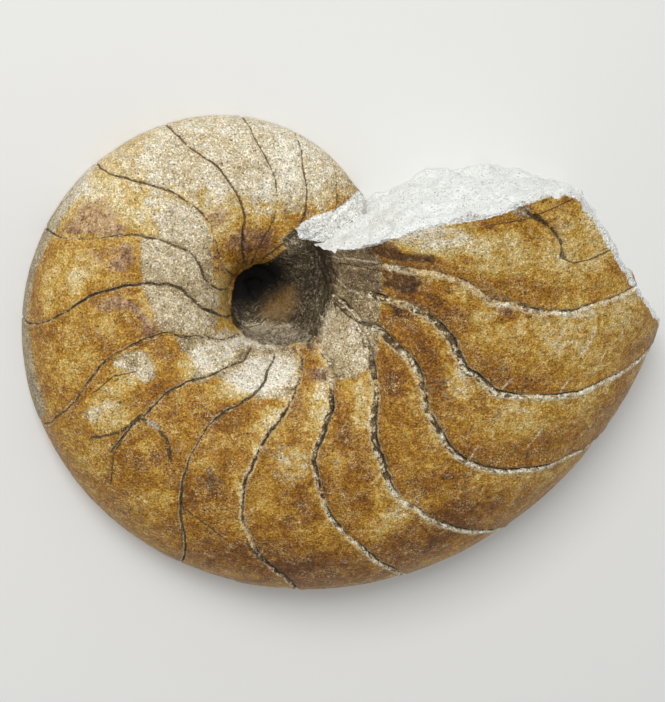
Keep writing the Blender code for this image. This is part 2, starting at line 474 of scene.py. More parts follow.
def add_roughness(nodes, geometry, inputs, more):
    """Moves the points along their normals by a slow and a quick noise, the quick one times more."""
    place = nodes.add("GeometryNodeInputPosition").outputs[0]
    heights = []
    for name, detail, factor in (("Swell", 2.0, 1.0), ("Grain", 3.0, more)):
        scale = nodes.math("DIVIDE", 1.0, inputs[f"{name} Size"])
        noise = nodes.noise(place, scale, detail, NOISE_ROUGHNESS)
        rise = nodes.math("MULTIPLY", nodes.math("SUBTRACT", noise, 0.5), inputs[f"{name} Height"])
        heights.append(nodes.math("MULTIPLY", nodes.math("MULTIPLY", rise, 2.0), factor))
    normal = nodes.add("GeometryNodeInputNormal").outputs[0]
    moved = nodes.add("GeometryNodeSetPosition")
    nodes.feed(moved.inputs["Geometry"], geometry)
    offset = nodes.vector("SCALE", normal, scale=nodes.math("ADD", *heights))
    nodes.feed(moved.inputs["Offset"], offset)
    return moved.outputs[0]


def named_value(nodes, name):
    """A mark of the mesh, in a geometry tree."""
    node = nodes.add("GeometryNodeInputNamedAttribute", data_type="FLOAT")
    node.inputs["Name"].default_value = name
    return node.outputs["Attribute"]


def finish_tree(nodes, geometry, inputs, outputs):
    """Ends a geometry tree: real faces, in the material given."""
    real = nodes.add("GeometryNodeRealizeInstances")
    dressed = nodes.add("GeometryNodeSetMaterial")
    nodes.feed(real.inputs[0], geometry)
    nodes.feed(dressed.inputs["Geometry"], real.outputs[0])
    nodes.feed(dressed.inputs["Material"], inputs["Material"])
    nodes.feed(outputs["Geometry"], dressed.outputs[0])


def coil_tree():
    """Bends a chart into the coil.

    On the chart X is the angle in radians, Y the share and Z how far a skirt hangs.
    """
    sockets = (
        ("Geometry", GEOMETRY),
        ("Venter Radius", FLOAT, VENTER_RADIUS * MM),
        ("Growth Per Turn", FLOAT, GROWTH_PER_TURN),
        ("Reference Angle", FLOAT, radians(REFERENCE_ANGLE)),
        ("Half Width", FLOAT, HALF_WIDTH),
        ("Widest Radius", FLOAT, WIDEST_RADIUS),
        ("Wall Foot Radius", FLOAT, WALL_FOOT_RADIUS),
        ("Flank Power", FLOAT, FLANK_POWER),
        ("Wall Power", FLOAT, WALL_POWER),
        ("Material", "NodeSocketMaterial"),
    ) + ROUGHNESS_SOCKETS
    tree, nodes, inputs, outputs = new_tree("Coil", "GeometryNodeTree", sockets, SHAPE_OUT)
    angle, share, drop = nodes.separate(nodes.add("GeometryNodeInputPosition").outputs[0])
    flank = nodes.math("LESS_THAN", share, 0.5)
    turn = nodes.math("MULTIPLY", nodes.math("MINIMUM", nodes.math("MAXIMUM", share, 0.0), 1.0), pi)
    to_flank = nodes.math("SUBTRACT", 1.0, inputs["Wall Foot Radius"])
    edge = nodes.math("MULTIPLY_ADD", flank, to_flank, inputs["Wall Foot Radius"])
    reach = nodes.math("SUBTRACT", edge, inputs["Widest Radius"])
    powers = nodes.math("SUBTRACT", inputs["Flank Power"], inputs["Wall Power"])
    power = nodes.math("DIVIDE", 2.0, nodes.math("MULTIPLY_ADD", flank, powers, inputs["Wall Power"]))
    round_across = nodes.math("POWER", nodes.math("ABSOLUTE", nodes.math("COSINE", turn)), power)
    round_up = nodes.math("POWER", nodes.math("ABSOLUTE", nodes.math("SINE", turn)), power)
    turns = nodes.math("DIVIDE", nodes.math("SUBTRACT", angle, inputs["Reference Angle"]), 2.0 * pi)
    growth = nodes.math("POWER", inputs["Growth Per Turn"], turns)
    size = nodes.math("MULTIPLY", inputs["Venter Radius"], growth)
    share_out = nodes.math("MULTIPLY_ADD", reach, round_across, inputs["Widest Radius"])
    radius = nodes.math("MULTIPLY", size, share_out)
    height = nodes.math("MULTIPLY", size, nodes.math("MULTIPLY", round_up, inputs["Half Width"]))
    place = nodes.combine(
        nodes.math("MULTIPLY", radius, nodes.math("COSINE", angle)),
        nodes.math("MULTIPLY", radius, nodes.math("SINE", angle)),
        nodes.math("SUBTRACT", height, drop),
    )
    bent = nodes.add("GeometryNodeSetPosition")
    nodes.feed(bent.inputs["Geometry"], inputs["Geometry"])
    nodes.feed(bent.inputs["Position"], place)
    carved = nodes.add("GeometryNodeSetPosition")
    nodes.feed(carved.inputs["Geometry"], bent.outputs[0])
    normal = nodes.add("GeometryNodeInputNormal").outputs[0]
    nodes.feed(carved.inputs["Offset"], nodes.vector("SCALE", normal, scale=named_value(nodes, "relief")))
    rough = add_roughness(nodes, carved.outputs[0], inputs, named_value(nodes, "roughness"))
    finish_tree(nodes, rough, inputs, outputs)
    return tree


def rough_stone_tree():
    """Roughens a dense mesh."""
    sockets = (("Geometry", GEOMETRY), ("Material", "NodeSocketMaterial")) + ROUGHNESS_SOCKETS
    tree, nodes, inputs, outputs = new_tree("Rough stone", "GeometryNodeTree", sockets, SHAPE_OUT)
    finish_tree(nodes, add_roughness(nodes, inputs["Geometry"], inputs, 1.0), inputs, outputs)
    return tree


def grown(obj, tree, **values):
    """The object as its tree makes it. Values are named as the tree's inputs, with _ for spaces."""
    modifier = obj.modifiers.new(tree.name, "NODES")
    modifier.node_group = tree
    for item in tree.interface.items_tree:
        key = item.name.replace(" ", "_").lower()
        if item.in_out == "INPUT" and key in values:
            modifier[item.identifier] = values[key]
    return settled(obj)


def settled(obj):
    """The object with its modifiers' result as its own mesh."""
    made = bpy.data.meshes.new_from_object(obj.evaluated_get(bpy.context.evaluated_depsgraph_get()))
    obj.modifiers.clear()
    old = obj.data
    obj.data = made
    bpy.data.meshes.remove(old)
    return obj


# ---------------------------------------------------------------- solids

def new_object(name, mesh):
    obj = bpy.data.objects.new(name, mesh)
    bpy.context.scene.collection.objects.link(obj)
    return obj


def mesh_of(name, points, faces):
    mesh = bpy.data.meshes.new(name)
    mesh.from_pydata(points, [], faces)
    mesh.update()
    return mesh


def add_attribute(mesh, name, values):
    attribute = mesh.attributes.new(name, "FLOAT", "POINT")
    attribute.data.foreach_set("value", np.asarray(values, np.float32).ravel())


def tube_faces(rows, columns):
    """Quads of a closed tube of rows by columns of points, and its two end faces, all facing out."""
    quads = []
    for i in range(rows - 1):
        for j in range(columns):
            k = (j + 1) % columns
            quads.append((i * columns + j, (i + 1) * columns + j, (i + 1) * columns + k, i * columns + k))
    quads.append(tuple(range(columns)))
    quads.append(tuple((rows - 1) * columns + j for j in reversed(range(columns))))
    return quads


def with_skirts(values, first, last):
    """Rows of values with two more columns on each side, of the values given or like the outermost."""
    rows = len(values)
    left = [np.full((rows, 1), value) if value is not None else values[:, :1] for value in first]
    right = [np.full((rows, 1), value) if value is not None else values[:, -1:] for value in last]
    return np.concatenate(left + [values] + right, axis=1)


SKIRT_SHARES = (-0.02, -0.01), (1.01, 1.02)  # of the columns that hang


def coil_object(stretch, name, tree, finish):
    """The solid of a stretch, with two columns hanging below the sawn face on each side."""
    copy = (None, None)
    angle = with_skirts(np.radians(stretch.angle), copy, copy)
    share = with_skirts(np.broadcast_to(stretch.share, stretch.angle.shape), *SKIRT_SHARES)
    drop = with_skirts(np.zeros(stretch.angle.shape), SKIRT[::-1], SKIRT) * MM
    points = np.stack([angle, share, drop], axis=-1).reshape(-1, 3)
    mesh = mesh_of(name, points, tube_faces(*angle.shape))
    add_attribute(mesh, "relief", with_skirts(stretch.relief, copy, copy) * MM)
    add_attribute(mesh, "roughness", with_skirts(stretch.roughness, copy, copy))
    for mark in ("groove", "lip", "pale", "drift"):
        add_attribute(mesh, mark, with_skirts(getattr(stretch, mark), copy, copy))
    return grown(new_object(name, mesh), tree, material=finish)


# ---------------------------------------------------------------- the broken end and the saw cut

# The broken end, as the construction has it: its line on the sawn face and its line high up on the flank.
BREAK_FOOT = ((2, 8), (12, 12.5), (26, 18.3), (36, 23.4), (46, 26.7), (57, 26.7), (71, 24.5), (79, 21.5),
              (83, 16), (87, 8), (92, 0), (95.5, -6), (99, -12.5), (112, -20))
BREAK_TOP = ((2, 5), (9, 8.4), (17, 13.0), (25, 17.6), (34, 20.4), (44, 21.8), (53, 24.6), (60, 26.4),
             (65, 24.8), (72, 14.5), (79, 4), (88, -5.2), (91, -7), (104, -14))
BREAK_TOP_HEIGHT = 45.0
BREAK_HEIGHTS = (-4.0, 52.0)
OUTSIDE = ((128, 110), (2, 110))  # far corners of the broken-off piece
WHORL, BREAK, SAW = 0, 1, 2  # the finish that a face wears, by its place in the list of materials
BREAK_STEP = 0.9
BREAK_GRAIN = dict(swell_size=0.009, swell_height=0.0030, grain_size=0.0030, grain_height=0.0018)
BREAK_ROUNDING = 3.0  # length over which the line's corners are rounded
SAW_SIZE = 400.0
PIT_FOOT = (-0.6, 0.4)  # the hollow at the bottom of the umbilicus: its middle low down and high up
PIT_TOP = (-1.6, 1.2)
PIT_HEIGHTS = (0.7, 13.0)
PIT_RADII = (0.4, 5.2)
PIT_SIDES = 40
PIT_STEP = 0.5
PIT_OPENING = 0.75  # how suddenly it widens
PIT_GRAIN = dict(swell_size=0.004, swell_height=0.0012, grain_size=0.0012, grain_height=0.00035)
PLUG_RADIUS = 5.0
PLUG_HEIGHT = 1.1
DARK_FOOT = 10.5  # the break wears the outside's finish up to this X, where the matrix covers it


def break_line(height):
    """The break's line at a height, with a point about every step and its corners rounded."""
    share = height / BREAK_TOP_HEIGHT
    foot = np.array(BREAK_FOOT, float)
    corners = (1.0 - share) * foot + share * np.array(BREAK_TOP, float)
    runs = np.linalg.norm(np.diff(foot, axis=0), axis=1)
    length = np.concatenate([[0.0], np.cumsum(runs)])
    places = np.linspace(0.0, length[-1], int(length[-1] / BREAK_STEP) + 1)
    spread = int(BREAK_ROUNDING / BREAK_STEP)
    window = np.hanning(2 * spread + 3)[1:-1]
    line = []
    for k in range(2):
        sharp = np.interp(places, length, corners[:, k])
        before = 2 * sharp[0] - sharp[spread:0:-1]
        after = 2 * sharp[-1] - sharp[-2:-spread - 2:-1]
        longer = np.concatenate([before, sharp, after])
        line.append(np.convolve(longer, window / window.sum(), mode="valid"))
    return np.stack(line, axis=-1)


def broken_off_end(tree, finish):
    """The solid that is missing from the newest stretch."""
    heights = np.arange(BREAK_HEIGHTS[0], BREAK_HEIGHTS[1] + BREAK_STEP, BREAK_STEP)
    rings = []
    for height in heights:
        line = np.concatenate([break_line(height), np.array(OUTSIDE, float)])
        rings.append(np.column_stack([line, np.full(len(line), height)]))
    points = np.stack(rings) * MM
    rows, columns = points.shape[:2]
    mesh = mesh_of("broken-off end", points.reshape(-1, 3), tube_faces(rows, columns))
    made = new_object("broken-off end", mesh)
    grown(made, tree, material=finish, **BREAK_GRAIN)
    return facing_out(made)


def facing_out(obj):
    """The object with all its faces turned outwards."""
    bm = bmesh.new()
    bm.from_mesh(obj.data)
    bmesh.ops.recalc_face_normals(bm, faces=bm.faces)
    bm.to_mesh(obj.data)
    bm.free()
    return obj


def primitive(name, make, scale, place=(0.0, 0.0, 0.0), **settings):
    """A plain solid with its place in its mesh, in millimetres."""
    bm = bmesh.new()
    make(bm, **settings)
    bmesh.ops.scale(bm, vec=Vector(scale) * MM, verts=bm.verts)
    bmesh.ops.translate(bm, vec=Vector(place) * MM, verts=bm.verts)
    mesh = bpy.data.meshes.new(name)
    bm.to_mesh(mesh)
    bm.free()
    return new_object(name, mesh)


def boolean(obj, other, operation):
    """Joins or cuts obj with the other solid, which is then gone."""
    modifier = obj.modifiers.new(operation, "BOOLEAN")
    modifier.operation = operation
    modifier.object = other
    modifier.solver = "MANIFOLD"
    settled(obj)
    bpy.data.objects.remove(other, do_unlink=True)
    return obj


def pit(tree, finish):
    """The solid that hollows the bottom of the umbilicus."""
    heights = np.arange(PIT_HEIGHTS[0], PIT_HEIGHTS[1], PIT_STEP)
    turn = np.arange(PIT_SIDES) * 2.0 * pi / PIT_SIDES
    rings = []
    for height in heights:
        share = (height - heights[0]) / (heights[-1] - heights[0])
        radius = PIT_RADII[0] + (PIT_RADII[1] - PIT_RADII[0]) * share**PIT_OPENING
        middle = np.array(PIT_FOOT) + share * (np.array(PIT_TOP) - PIT_FOOT)
        x, y = middle[0] + radius * np.cos(turn), middle[1] + radius * np.sin(turn)
        rings.append(np.stack([x, y, np.full(PIT_SIDES, height)], axis=-1))
    mesh = mesh_of("pit", np.concatenate(rings) * MM, tube_faces(len(rings), PIT_SIDES))
    made = new_object("pit", mesh)
    grown(made, tree, material=finish, **PIT_GRAIN)
    return facing_out(made)


def without_folds(obj):
    """Takes out pairs of faces that a cut left lying on each other, and what only they held."""
    bm = bmesh.new()
    bm.from_mesh(obj.data)
    by_corners = {}
    for face in bm.faces:
        by_corners.setdefault(frozenset(corner.index for corner in face.verts), []).append(face)
    folded = [face for faces in by_corners.values() if len(faces) > 1 for face in faces]
    bmesh.ops.delete(bm, geom=folded, context="FACES")
    bm.to_mesh(obj.data)
    bm.free()
    return obj


def face_kind(obj, kind):
    """Notes on every face which finish it wears, so that the faces keep it through the cuts."""
    attribute = obj.data.attributes.new("kind", "INT", "FACE")
    attribute.data.foreach_set("value", np.full(len(obj.data.polygons), kind, np.int32))
    return obj


def build_fossil(outside, fresh, sawn):
    """The one piece, before its marks."""
    coil = coil_tree()
    rough = rough_stone_tree()
    whorls = []
    for age, stretch in enumerate(reversed(stretches())):
        outside_relief(stretch)
        whorls.append(face_kind(coil_object(stretch, f"whorl {age}", coil, outside), WHORL))
    fossil = whorls[0]
    boolean(fossil, face_kind(broken_off_end(rough, fresh), BREAK), "DIFFERENCE")
    for whorl in whorls[1:]:
        boolean(fossil, whorl, "UNION")
    boolean(fossil, face_kind(pit(rough, outside), WHORL), "DIFFERENCE")
    plug = primitive("plug", bmesh.ops.create_cone, (1.0, 1.0, 1.0), cap_ends=True, segments=PIT_SIDES,
                     radius1=PLUG_RADIUS, radius2=PLUG_RADIUS, depth=2.0 * PLUG_HEIGHT)
    boolean(fossil, face_kind(plug, WHORL), "UNION")
    saw = primitive("saw", bmesh.ops.create_cube, (SAW_SIZE,) * 3, (0.0, 0.0, -0.5 * SAW_SIZE), size=1.0)
    boolean(fossil, face_kind(saw, SAW), "DIFFERENCE")
    without_folds(fossil)
    kinds = np.empty(len(fossil.data.polygons), np.int32)
    fossil.data.attributes["kind"].data.foreach_get("value", kinds)
    fossil.data.materials.clear()
    for finish in (outside, fresh, sawn):
        fossil.data.materials.append(finish)
    middles = np.empty(len(kinds) * 3, np.float32)
    fossil.data.polygons.foreach_get("center", middles)
    kinds[(kinds == BREAK) & (middles[::3] < DARK_FOOT * MM)] = WHORL
    fossil.data.polygons.foreach_set("material_index", kinds)
    return fossil
# ---------------------------------------------------------------- marks on the outside

# Patches are ellipses seen from above: x and y, half length, half width, the turn of the length and the
# amount.
# Tone runs from deep amber, negative, to pale tan, positive.
TONE_PATCHES = (
    # the pale top of the whorl, and what is deeper or paler in it
    (-12, 30, 40, 17, 12, 0.33), (-36, 26, 8, 5, 40, 0.06), (14, 30, 14, 12, 0, 0.12),
    (-10, 40, 16, 5, 0, 0.08), (-5, 12, 7, 5.0, 0, -0.05), (-20, 30, 5, 4, 0, -0.06),
    (2, 24, 3, 8, 10, 0.06), (-27, 17, 5, 4, 0, 0.06),
    # the left, from the crust to the grey stone
    (-46, 4, 5, 10, -10, 0.24), (-38, 8, 6, 5, 0, 0.14), (-34, -2, 7, 5, 0, 0.12),
    (-44, -12, 6, 7, 10, 0.16), (-37, -20, 7, 3.2, 35, 0.24), (-37, -25, 6, 3.5, 10, 0.22),
    (-20, 3, 10, 13, 10, 0.20), (-18, -3, 5, 4, 0, 0.08), (-31.5, -4.5, 3, 2, 20, -0.10),
    (-26, -19, 8, 3.0, 35, -0.04), (-31, -13.5, 5.5, 4, 0, 0.22), (-45, -28, 6, 9, 25, 0.06),
    (-30, -33, 6, 4, 20, -0.12), (-36, -40, 6, 6, 20, -0.08), (3, -43, 4, 8, 0, -0.08),
    (-24, -21, 5, 3, 35, 0.04), (-29, -31.5, 2.6, 2.2, 0, 0.30), (-40, -38, 5, 2.4, -40, 0.14),
    (-26, -44, 5, 3, 0, 0.16), (-47, -2, 2, 12, -5, -0.14),
    # below the umbilicus
    (-14, -12, 8, 4, 20, 0.40), (-3, -17, 10, 4.2, 12, 0.58), (9, -22, 4, 5, 0, 0.16),
    (16, -9, 7, 9, 10, 0.22), (9, -28, 5, 4, 0, 0.10), (-16, -20, 6, 3.5, 30, 0.08),
    (-1, -27, 5, 4, 20, 0.12), (-12, -26, 5, 3, 30, -0.12), (17, -20, 4, 3, 0, 0.12),
    (19, -25, 3, 3, 10, 0.20), (14.5, -30, 2, 4, 10, -0.14), (18, -42, 4, 7, 5, -0.10),
    (23, -44, 3, 5, 10, 0.06), (-18, -42, 7, 5, 20, -0.10), (-4, -42, 4, 6, -20, 0.10),
    (8, -44, 4, 7, 0, -0.10), (-10, -36, 4, 5, -20, -0.10), (3, -36, 4, 4, 0, 0.20),
    # the deep patches along the lower rim, y -54 to -66, are partly the stone's deeper amber and partly
    # painted shade on the side turned away from the lamp
    (-2, -60, 22, 6, -8, -0.20), (38, -54, 16, 7, 25, -0.22), (10, -66, 24, 6, 4, -0.12),
    (40, -59, 9, 4, 25, -0.12), (38.8, -1, 4, 3, -35, -0.07), (-14, -30, 3, 3, 30, 0.10),
    (12, -36, 3, 3, 0, 0.10), (6, -50, 5, 3, 20, -0.10), (30, -48, 5, 3, 20, 0.14),
    (24, -52, 6, 4, 20, 0.12), (10, -24, 3, 5, 10, 0.12), (-17, -37, 4, 3, 20, 0.10),
    (36, -42, 6, 3.4, 20, -0.12),
    # the newest chambers
    (18, 6, 6, 9, 0, -0.10), (29, 6, 7, 3.5, -28, -0.10), (33, 1, 9, 3.5, -35, -0.12),
    (46, -4, 4, 6, 20, 0.12), (26, -13, 3, 8, 10, -0.15), (27, -2, 4, 2.5, -40, -0.10),
    (33, -12, 3, 8, 20, -0.14), (31, -20, 3, 4, 20, 0.10), (32, 16.5, 12, 4.4, -7, 0.44),
    (40, 9.5, 7, 2.4, -12, 0.12), (47, 13, 6, 6, 10, 0.24), (57, 11, 6, 6, 0, 0.12),
    (66, 14, 9, 9, 0, 0.24), (72, -4, 14, 12, 0, 0.16), (56, -9, 9, 7, 10, 0.14),
    (40, -17, 3, 5, 20, 0.20), (47, -15, 6, 3, -20, -0.08), (50, -28, 12, 5, 20, 0.10),
    (68, -22, 14, 8, 30, 0.12), (84, -4, 6, 10, 20, 0.06), (58, -2, 4, 2.4, 0, -0.06),
    (44, -36, 9, 5, 30, -0.10), (42, -26, 4, 3, 20, 0.10), (55, -18, 9, 2.6, -8, -0.10),
    (50, -2, 3, 2, 0, -0.12), (60, -34, 8, 3, 30, -0.08),
    # the umbilicus
    (1, -9.8, 9, 2.4, 0, 0.64), (8, -9, 2.4, 2.4, 0, 0.14), (6.5, 12, 3.2, 2.6, 0, 0.28),
    (-9.5, 1, 2.6, 9, 0, 0.24), (14.4, 4, 2.4, 8, -8, 0.10), (10, 4, 3, 8, -8, -0.08),
)
STAIN_PATCHES = (
    (-34, 17.0, 2.6, 2.0, 0, 0.90), (-37, 11.0, 7.0, 4.4, 10, 0.46), (-34, 9.4, 3.4, 2.6, 20, 0.75),
    (-26, 27.5, 3.0, 2.0, 0, 0.5), (-16.3, 15.5, 2.6, 2.2, 0, 0.45), (5, -22, 3, 3, 0, 0.45),
    (-3, 13, 9, 4.5, -8, 0.62), (-11, 8, 2.4, 6, 10, 0.5), (60.5, 18.5, 2.4, 1.8, 0, 0.45),
    (-11, 19.0, 4.4, 3.2, 0, 0.6), (45, -44, 4, 2, 20, 0.4), (10.2, -16.5, 2.8, 2.2, 0, 0.8),
    (49, 0, 3.6, 2.8, -10, 0.6), (9.4, -9.8, 2.6, 3.0, 20, 0.8),
)
UMBER_PATCHES = (  # dark brown, smooth and glossy
    (33.5, 2.6, 4.2, 1.8, -36, 0.46), (38, 9.8, 4, 0.9, -12, 0.44),
)
GREY_PATCHES = (
    (-14, -14.5, 7, 3, 22, 0.6), (30, -55, 12, 5, 30, 0.35), (-45, -35, 8, 6, 40, 0.35),
    (63, -45, 22, 6, 42, 0.35), (32, 16.8, 10, 3.2, -7, 0.46), (50.8, 22.4, 3.0, 1.5, -20, 0.9),
    (47, -14, 6, 4.4, 0, 0.40), (36, -19, 4, 7, 20, 0.42), (-38, -24, 6, 4, 10, 0.46),
    (13, -38, 4, 4, 0, 0.42), (-1, -33, 5, 4, 0, 0.42), (30, -47, 7, 4.4, 20, 0.44),
    (3, -37, 6.4, 4.6, 20, 0.46), (-15, -39, 5, 4, 0, 0.42), (40, -16, 3.6, 5, 10, 0.44),
    (12, -18, 4, 5, 0, 0.44), (46.8, 4.0, 5.4, 2.0, -30, 0.50), (58, -6, 8, 4, 10, 0.36),
    (70, -2, 9, 5, 20, 0.34), (52, -24, 8, 4, 20, 0.38), (-34, -46, 7, 4, -40, 0.38),
    (-10, -50, 6, 4, 0, 0.36), (56, -34, 9, 4, 30, 0.38), (-40, -6, 5, 4, 0, 0.36),
)
# Regions have a clear edge: how far it fades, the amount and the outline.
TONE_REGIONS = (
    (0.7, -0.04, (
        (22.1, -8.2), (25.5, -8.6), (27.9, -12.5), (29.4, -18.7), (27.9, -20.2), (22.5, -20.6),
    )),
    (1.0, -0.12, (
        (24.9, 1.3), (26.8, 1.5), (30.1, -1.8), (33.1, -6.6), (35.5, -12.0), (32.8, -11.3),
        (30.0, -7.2), (26.2, -3.0),
    )),
    (0.8, -0.05, (
        (-20.9, -21.5), (-16.5, -19.4), (-9.6, -18.9), (-6.5, -20.2), (-8.3, -22.5), (-13.9, -25.5),
        (-18.5, -27.3), (-22.6, -25.5), (-23.7, -22.7),
    )),
    (1.2, -0.09, (
        (-19.8, -38.3), (-11.7, -37.3), (-8.5, -44.2), (-10.1, -51.5), (-18.2, -51.1), (-20.5, -44.3),
    )),
    (1.0, 0.09, (
        (-3.3, -24.0), (2.3, -21.8), (5.7, -24.0), (2.6, -32.5), (-1.6, -37.6), (-3.6, -30.4),
    )),
    (1.0, -0.08, ((12.8, -28.2), (16.4, -27.2), (21.1, -33.1), (20.1, -39.3), (14.9, -37.3))),
)
GREY_REGIONS = (
    (1.2, 1.0, (
        (-28.6, 14.7), (-28.8, 4.8), (-27.6, 1.2), (-26.4, -2.5), (-25.7, -5.4), (-20.4, -6.2),
        (-14.7, -8.1), (-11.6, -5.7), (-10.8, -0.5), (-12.1, 3.2), (-12.6, 9.0), (-12.4, 15.0),
        (-16, 21.4), (-21.3, 23.3), (-24.5, 20.1), (-24.5, 15.4),
    )),
    (7.0, 0.66, (
        (-36, 33), (-24, 42), (-6.6, 46), (14, 44), (26, 32), (28, 20), (15.9, 17), (8.9, 16.3),
        (1.3, 17), (-5.8, 19), (-12, 20.0), (-20, 21), (-27, 17), (-31, 24),
    )),
    (1.2, 0.72, ((-49, 13.8), (-45.4, 20.4), (-40, 27), (-38, 24.4), (-42.6, 21.4), (-46.3, 15.6))),
    (1.2, 1.0, (
        (-21.5, -7.2), (-16.3, -6.6), (-9.6, -7.0), (-6.4, -9.4), (-1.4, -11.2), (6.3, -11.8),
        (5.9, -18.1), (3.2, -21.3), (-2.9, -21.4), (-8.1, -18.8), (-13.8, -15.0), (-17.6, -12.9),
        (-20.4, -10.2),
    )),
    (0.6, 1.0, (
        (-36.0, -12.1), (-32.9, -10.1), (-29.1, -9.5), (-27.7, -11.3), (-26.4, -14.0), (-26.9, -16.2),
        (-29.1, -17.0), (-31.4, -15.4), (-33.5, -13.6), (-35.9, -13.1),
    )),
    (0.9, 1.0, (
        (12, 12.7), (19.5, 14.1), (21.2, 11.9), (22.8, 10.6), (23.2, 4), (23.0, -3.2), (22.5, -9.0),
        (21.7, -13.1), (18.1, -16.0), (14.4, -17.4), (12.6, -15.6), (11.9, -11.7), (11, -6), (12, 2),
    )),
)
UMBER_REGIONS = (
    (0.7, 1.0, (
        (19.4, 15.3), (21.7, 16.5), (24.1, 15.2), (26.7, 12.6), (26.1, 11.1), (23.6, 11.3),
        (20.9, 12.6),
    )),
    (0.8, 0.84, ((25.8, 12.8), (32.4, 13.2), (33.4, 11.0), (26.1, 10.8))),
    (1.8, 1.0, (
        (23.0, 9.4), (25.9, 9.8), (28.6, 8.6), (30.4, 6.4), (29.6, 4.2), (27.0, 3.6), (23.4, 5.1),
    )),
    (1.6, 0.62, ((23.4, 0.9), (26.2, 1.9), (28.6, -0.5), (28.0, -3.0), (24.9, -2.1))),
)
STAIN_REGIONS = (
    (0.9, 0.66, (
        (-36.2, 24.1), (-34.4, 22.0), (-32.9, 20.2), (-33.3, 15.7), (-46.1, 15.0), (-45.4, 16.4),
        (-43.7, 18.8), (-41.1, 22.2),
    )),
    (1.2, 0.70, ((-33.2, 14.5), (-29.9, 14.4), (-29.7, 9.8), (-31.6, 8.1), (-34.0, 9.6))),
    (0.9, 0.72, (
        (-40.1, 1.1), (-34.6, 3.1), (-29.1, 0.6), (-25.7, -4.5), (-26.0, -7.0), (-28.9, -7.3),
        (-29.7, -3.2), (-32.4, -0.5), (-36.6, -1.3), (-39.6, -1.1),
    )),
)
MATRIX_REGIONS = (
    (0.7, 1.0, (
        (-5.8, 1.6), (-6.3, -0.4), (-7.4, -6.6), (-4.6, -10.0), (-0.7, -11.6), (4.4, -12.0),
        (8.2, -10.8), (10.9, -7.8), (13.2, -2.4), (12, 4), (9.8, 9), (7.5, 10.6), (4.6, 10.3),
        (3.2, 8.5), (1.7, 6.9), (0.0, 5.9), (-1.8, 4.8), (-3.6, 4.1), (-5.1, 2.9),
    )),
    (1.6, 1.0, (
        (3.6, 13.0), (7.4, 15.6), (12, 14), (14.4, 10.1), (16, 5.4), (15.6, 0.6), (14.1, -4.1),
        (12.4, -8.0), (9, -11.8), (8.2, -10.1), (10.5, -6.2), (11, -2.3), (9.5, 3.7), (7.2, 8.2),
    )),
)
# Painted shade: where the pit at the bottom of the umbilicus lies in shadow, it is painted near black.
PAINTED_PIT_SHADE_REGIONS = (  # the dark bottom of the umbilicus
    (4.0, 1.5, (
        (-7.6, -1.0), (-6.8, 4.6), (-4.0, 7.4), (1.6, 7.6), (4.4, 5.6), (5.0, 2.0), (3.2, -0.6),
        (0.6, -2.6), (-2.4, -3.0), (-6.4, -3.0),
    )),
)
GOLD_REGIONS = (  # the smooth innermost whorl that shows in it
    (2.2, 1.0, (
        (0.9, -3.8), (2.8, -2.0), (4.7, 0.2), (7.4, 0.8), (8.6, -2.2), (7.2, -5.4), (5.6, -7.6),
        (2.3, -7.6), (0.2, -5.9),
    )),
)
TIP_REGIONS = (  # the blunt inner end of the break, which is white
    (0.8, 1.2, (
        (7.4, 15.2), (9.7, 17.0), (12.7, 18.1), (16.8, 18.9), (20.2, 20.6), (23.6, 22.4), (27.0, 21.2),
        (24.6, 17.6), (20.9, 14.8), (17.0, 12.8), (12.8, 12.0), (8.4, 13.0),
    )),
)
EDGE_REGIONS = (  # a fresh spot past the break's line
    (0.8, 1.2, ((37.6, 20.6), (42.6, 21.4), (42.6, 24.0), (37.6, 23.4))),
)
BARE_PATCHES = ((17, 7, 6.5, 6, 0, 1.0), (2, 0, 12.5, 12.5, 0, 1.0))
CRUST_EDGE = (
    (-33, 34), (-38.5, 27.5), (-44.3, 20), (-49, 12), (-52, 5), (-53.6, -2), (-53.8, -8), (-52.8, -16),
    (-50.8, -24), (-51.2, -27), (-52.4, -30), (-54.6, -34),
)
CRUST_HEIGHT = 0.22
CRUST_OVERLAP = 3.0  # how far the crust goes on past the first point of its edge

# Cracks and chips follow lines seen from above: a half width, and the line.
GOUGE = (0.85, 1.1, ((54.4, 21.0), (56.0, 19.6), (58.0, 18.4), (60.0, 16.6), (61.4, 14.4), (61.8, 11.6)))
CRACKS = (
    (0.52, ((52.6, 21.8), (55.4, 20.2), (58.0, 18.4))), (0.40, ((58.0, 18.4), (60.0, 16.6))),
    (0.30, ((60.0, 16.6), (61.4, 14.4), (61.6, 12.8))), (0.85, ((61.6, 12.4), (62.2, 11.0))),
    (0.20, ((62.2, 10.8), (64.5, 9.9), (68.0, 10.4), (75.0, 12.6))),
    (0.13, ((54.4, 21.2), (58, 22.4), (64.5, 25.0))), (0.13, ((44.2, 19.4), (49, 20.0), (53.0, 20.6))),
    (0.42, ((-29.9, -25.2), (-26.5, -27.3), (-24.4, -30.1), (-23.8, -35.0))),
    (0.36, ((-30.0, -24.2), (-32.7, -26.6), (-35.5, -28.5), (-40.9, -30.0))),
    (0.15, ((-34.4, -30.0), (-36.4, -33.9), (-37.0, -41.0))),
    (0.18, ((-21.5, -46.2), (-17.0, -50.1), (-12.2, -54.2))), (0.14, ((-21.6, -46.9), (-21.2, -56.0))),
    (0.30, ((-6.5, -56.3), (-3.4, -60.6), (1.3, -64.3), (5.0, -68.2))),
    (0.16, ((-31, -14.4), (-36, -15.4), (-40, -19.0))), (0.16, ((15.8, 8.4), (19.0, 8.6), (22.6, 8.2))),
    (0.20, ((15.4, -1.4), (17.2, -3.4), (19.3, -4.6))),
)
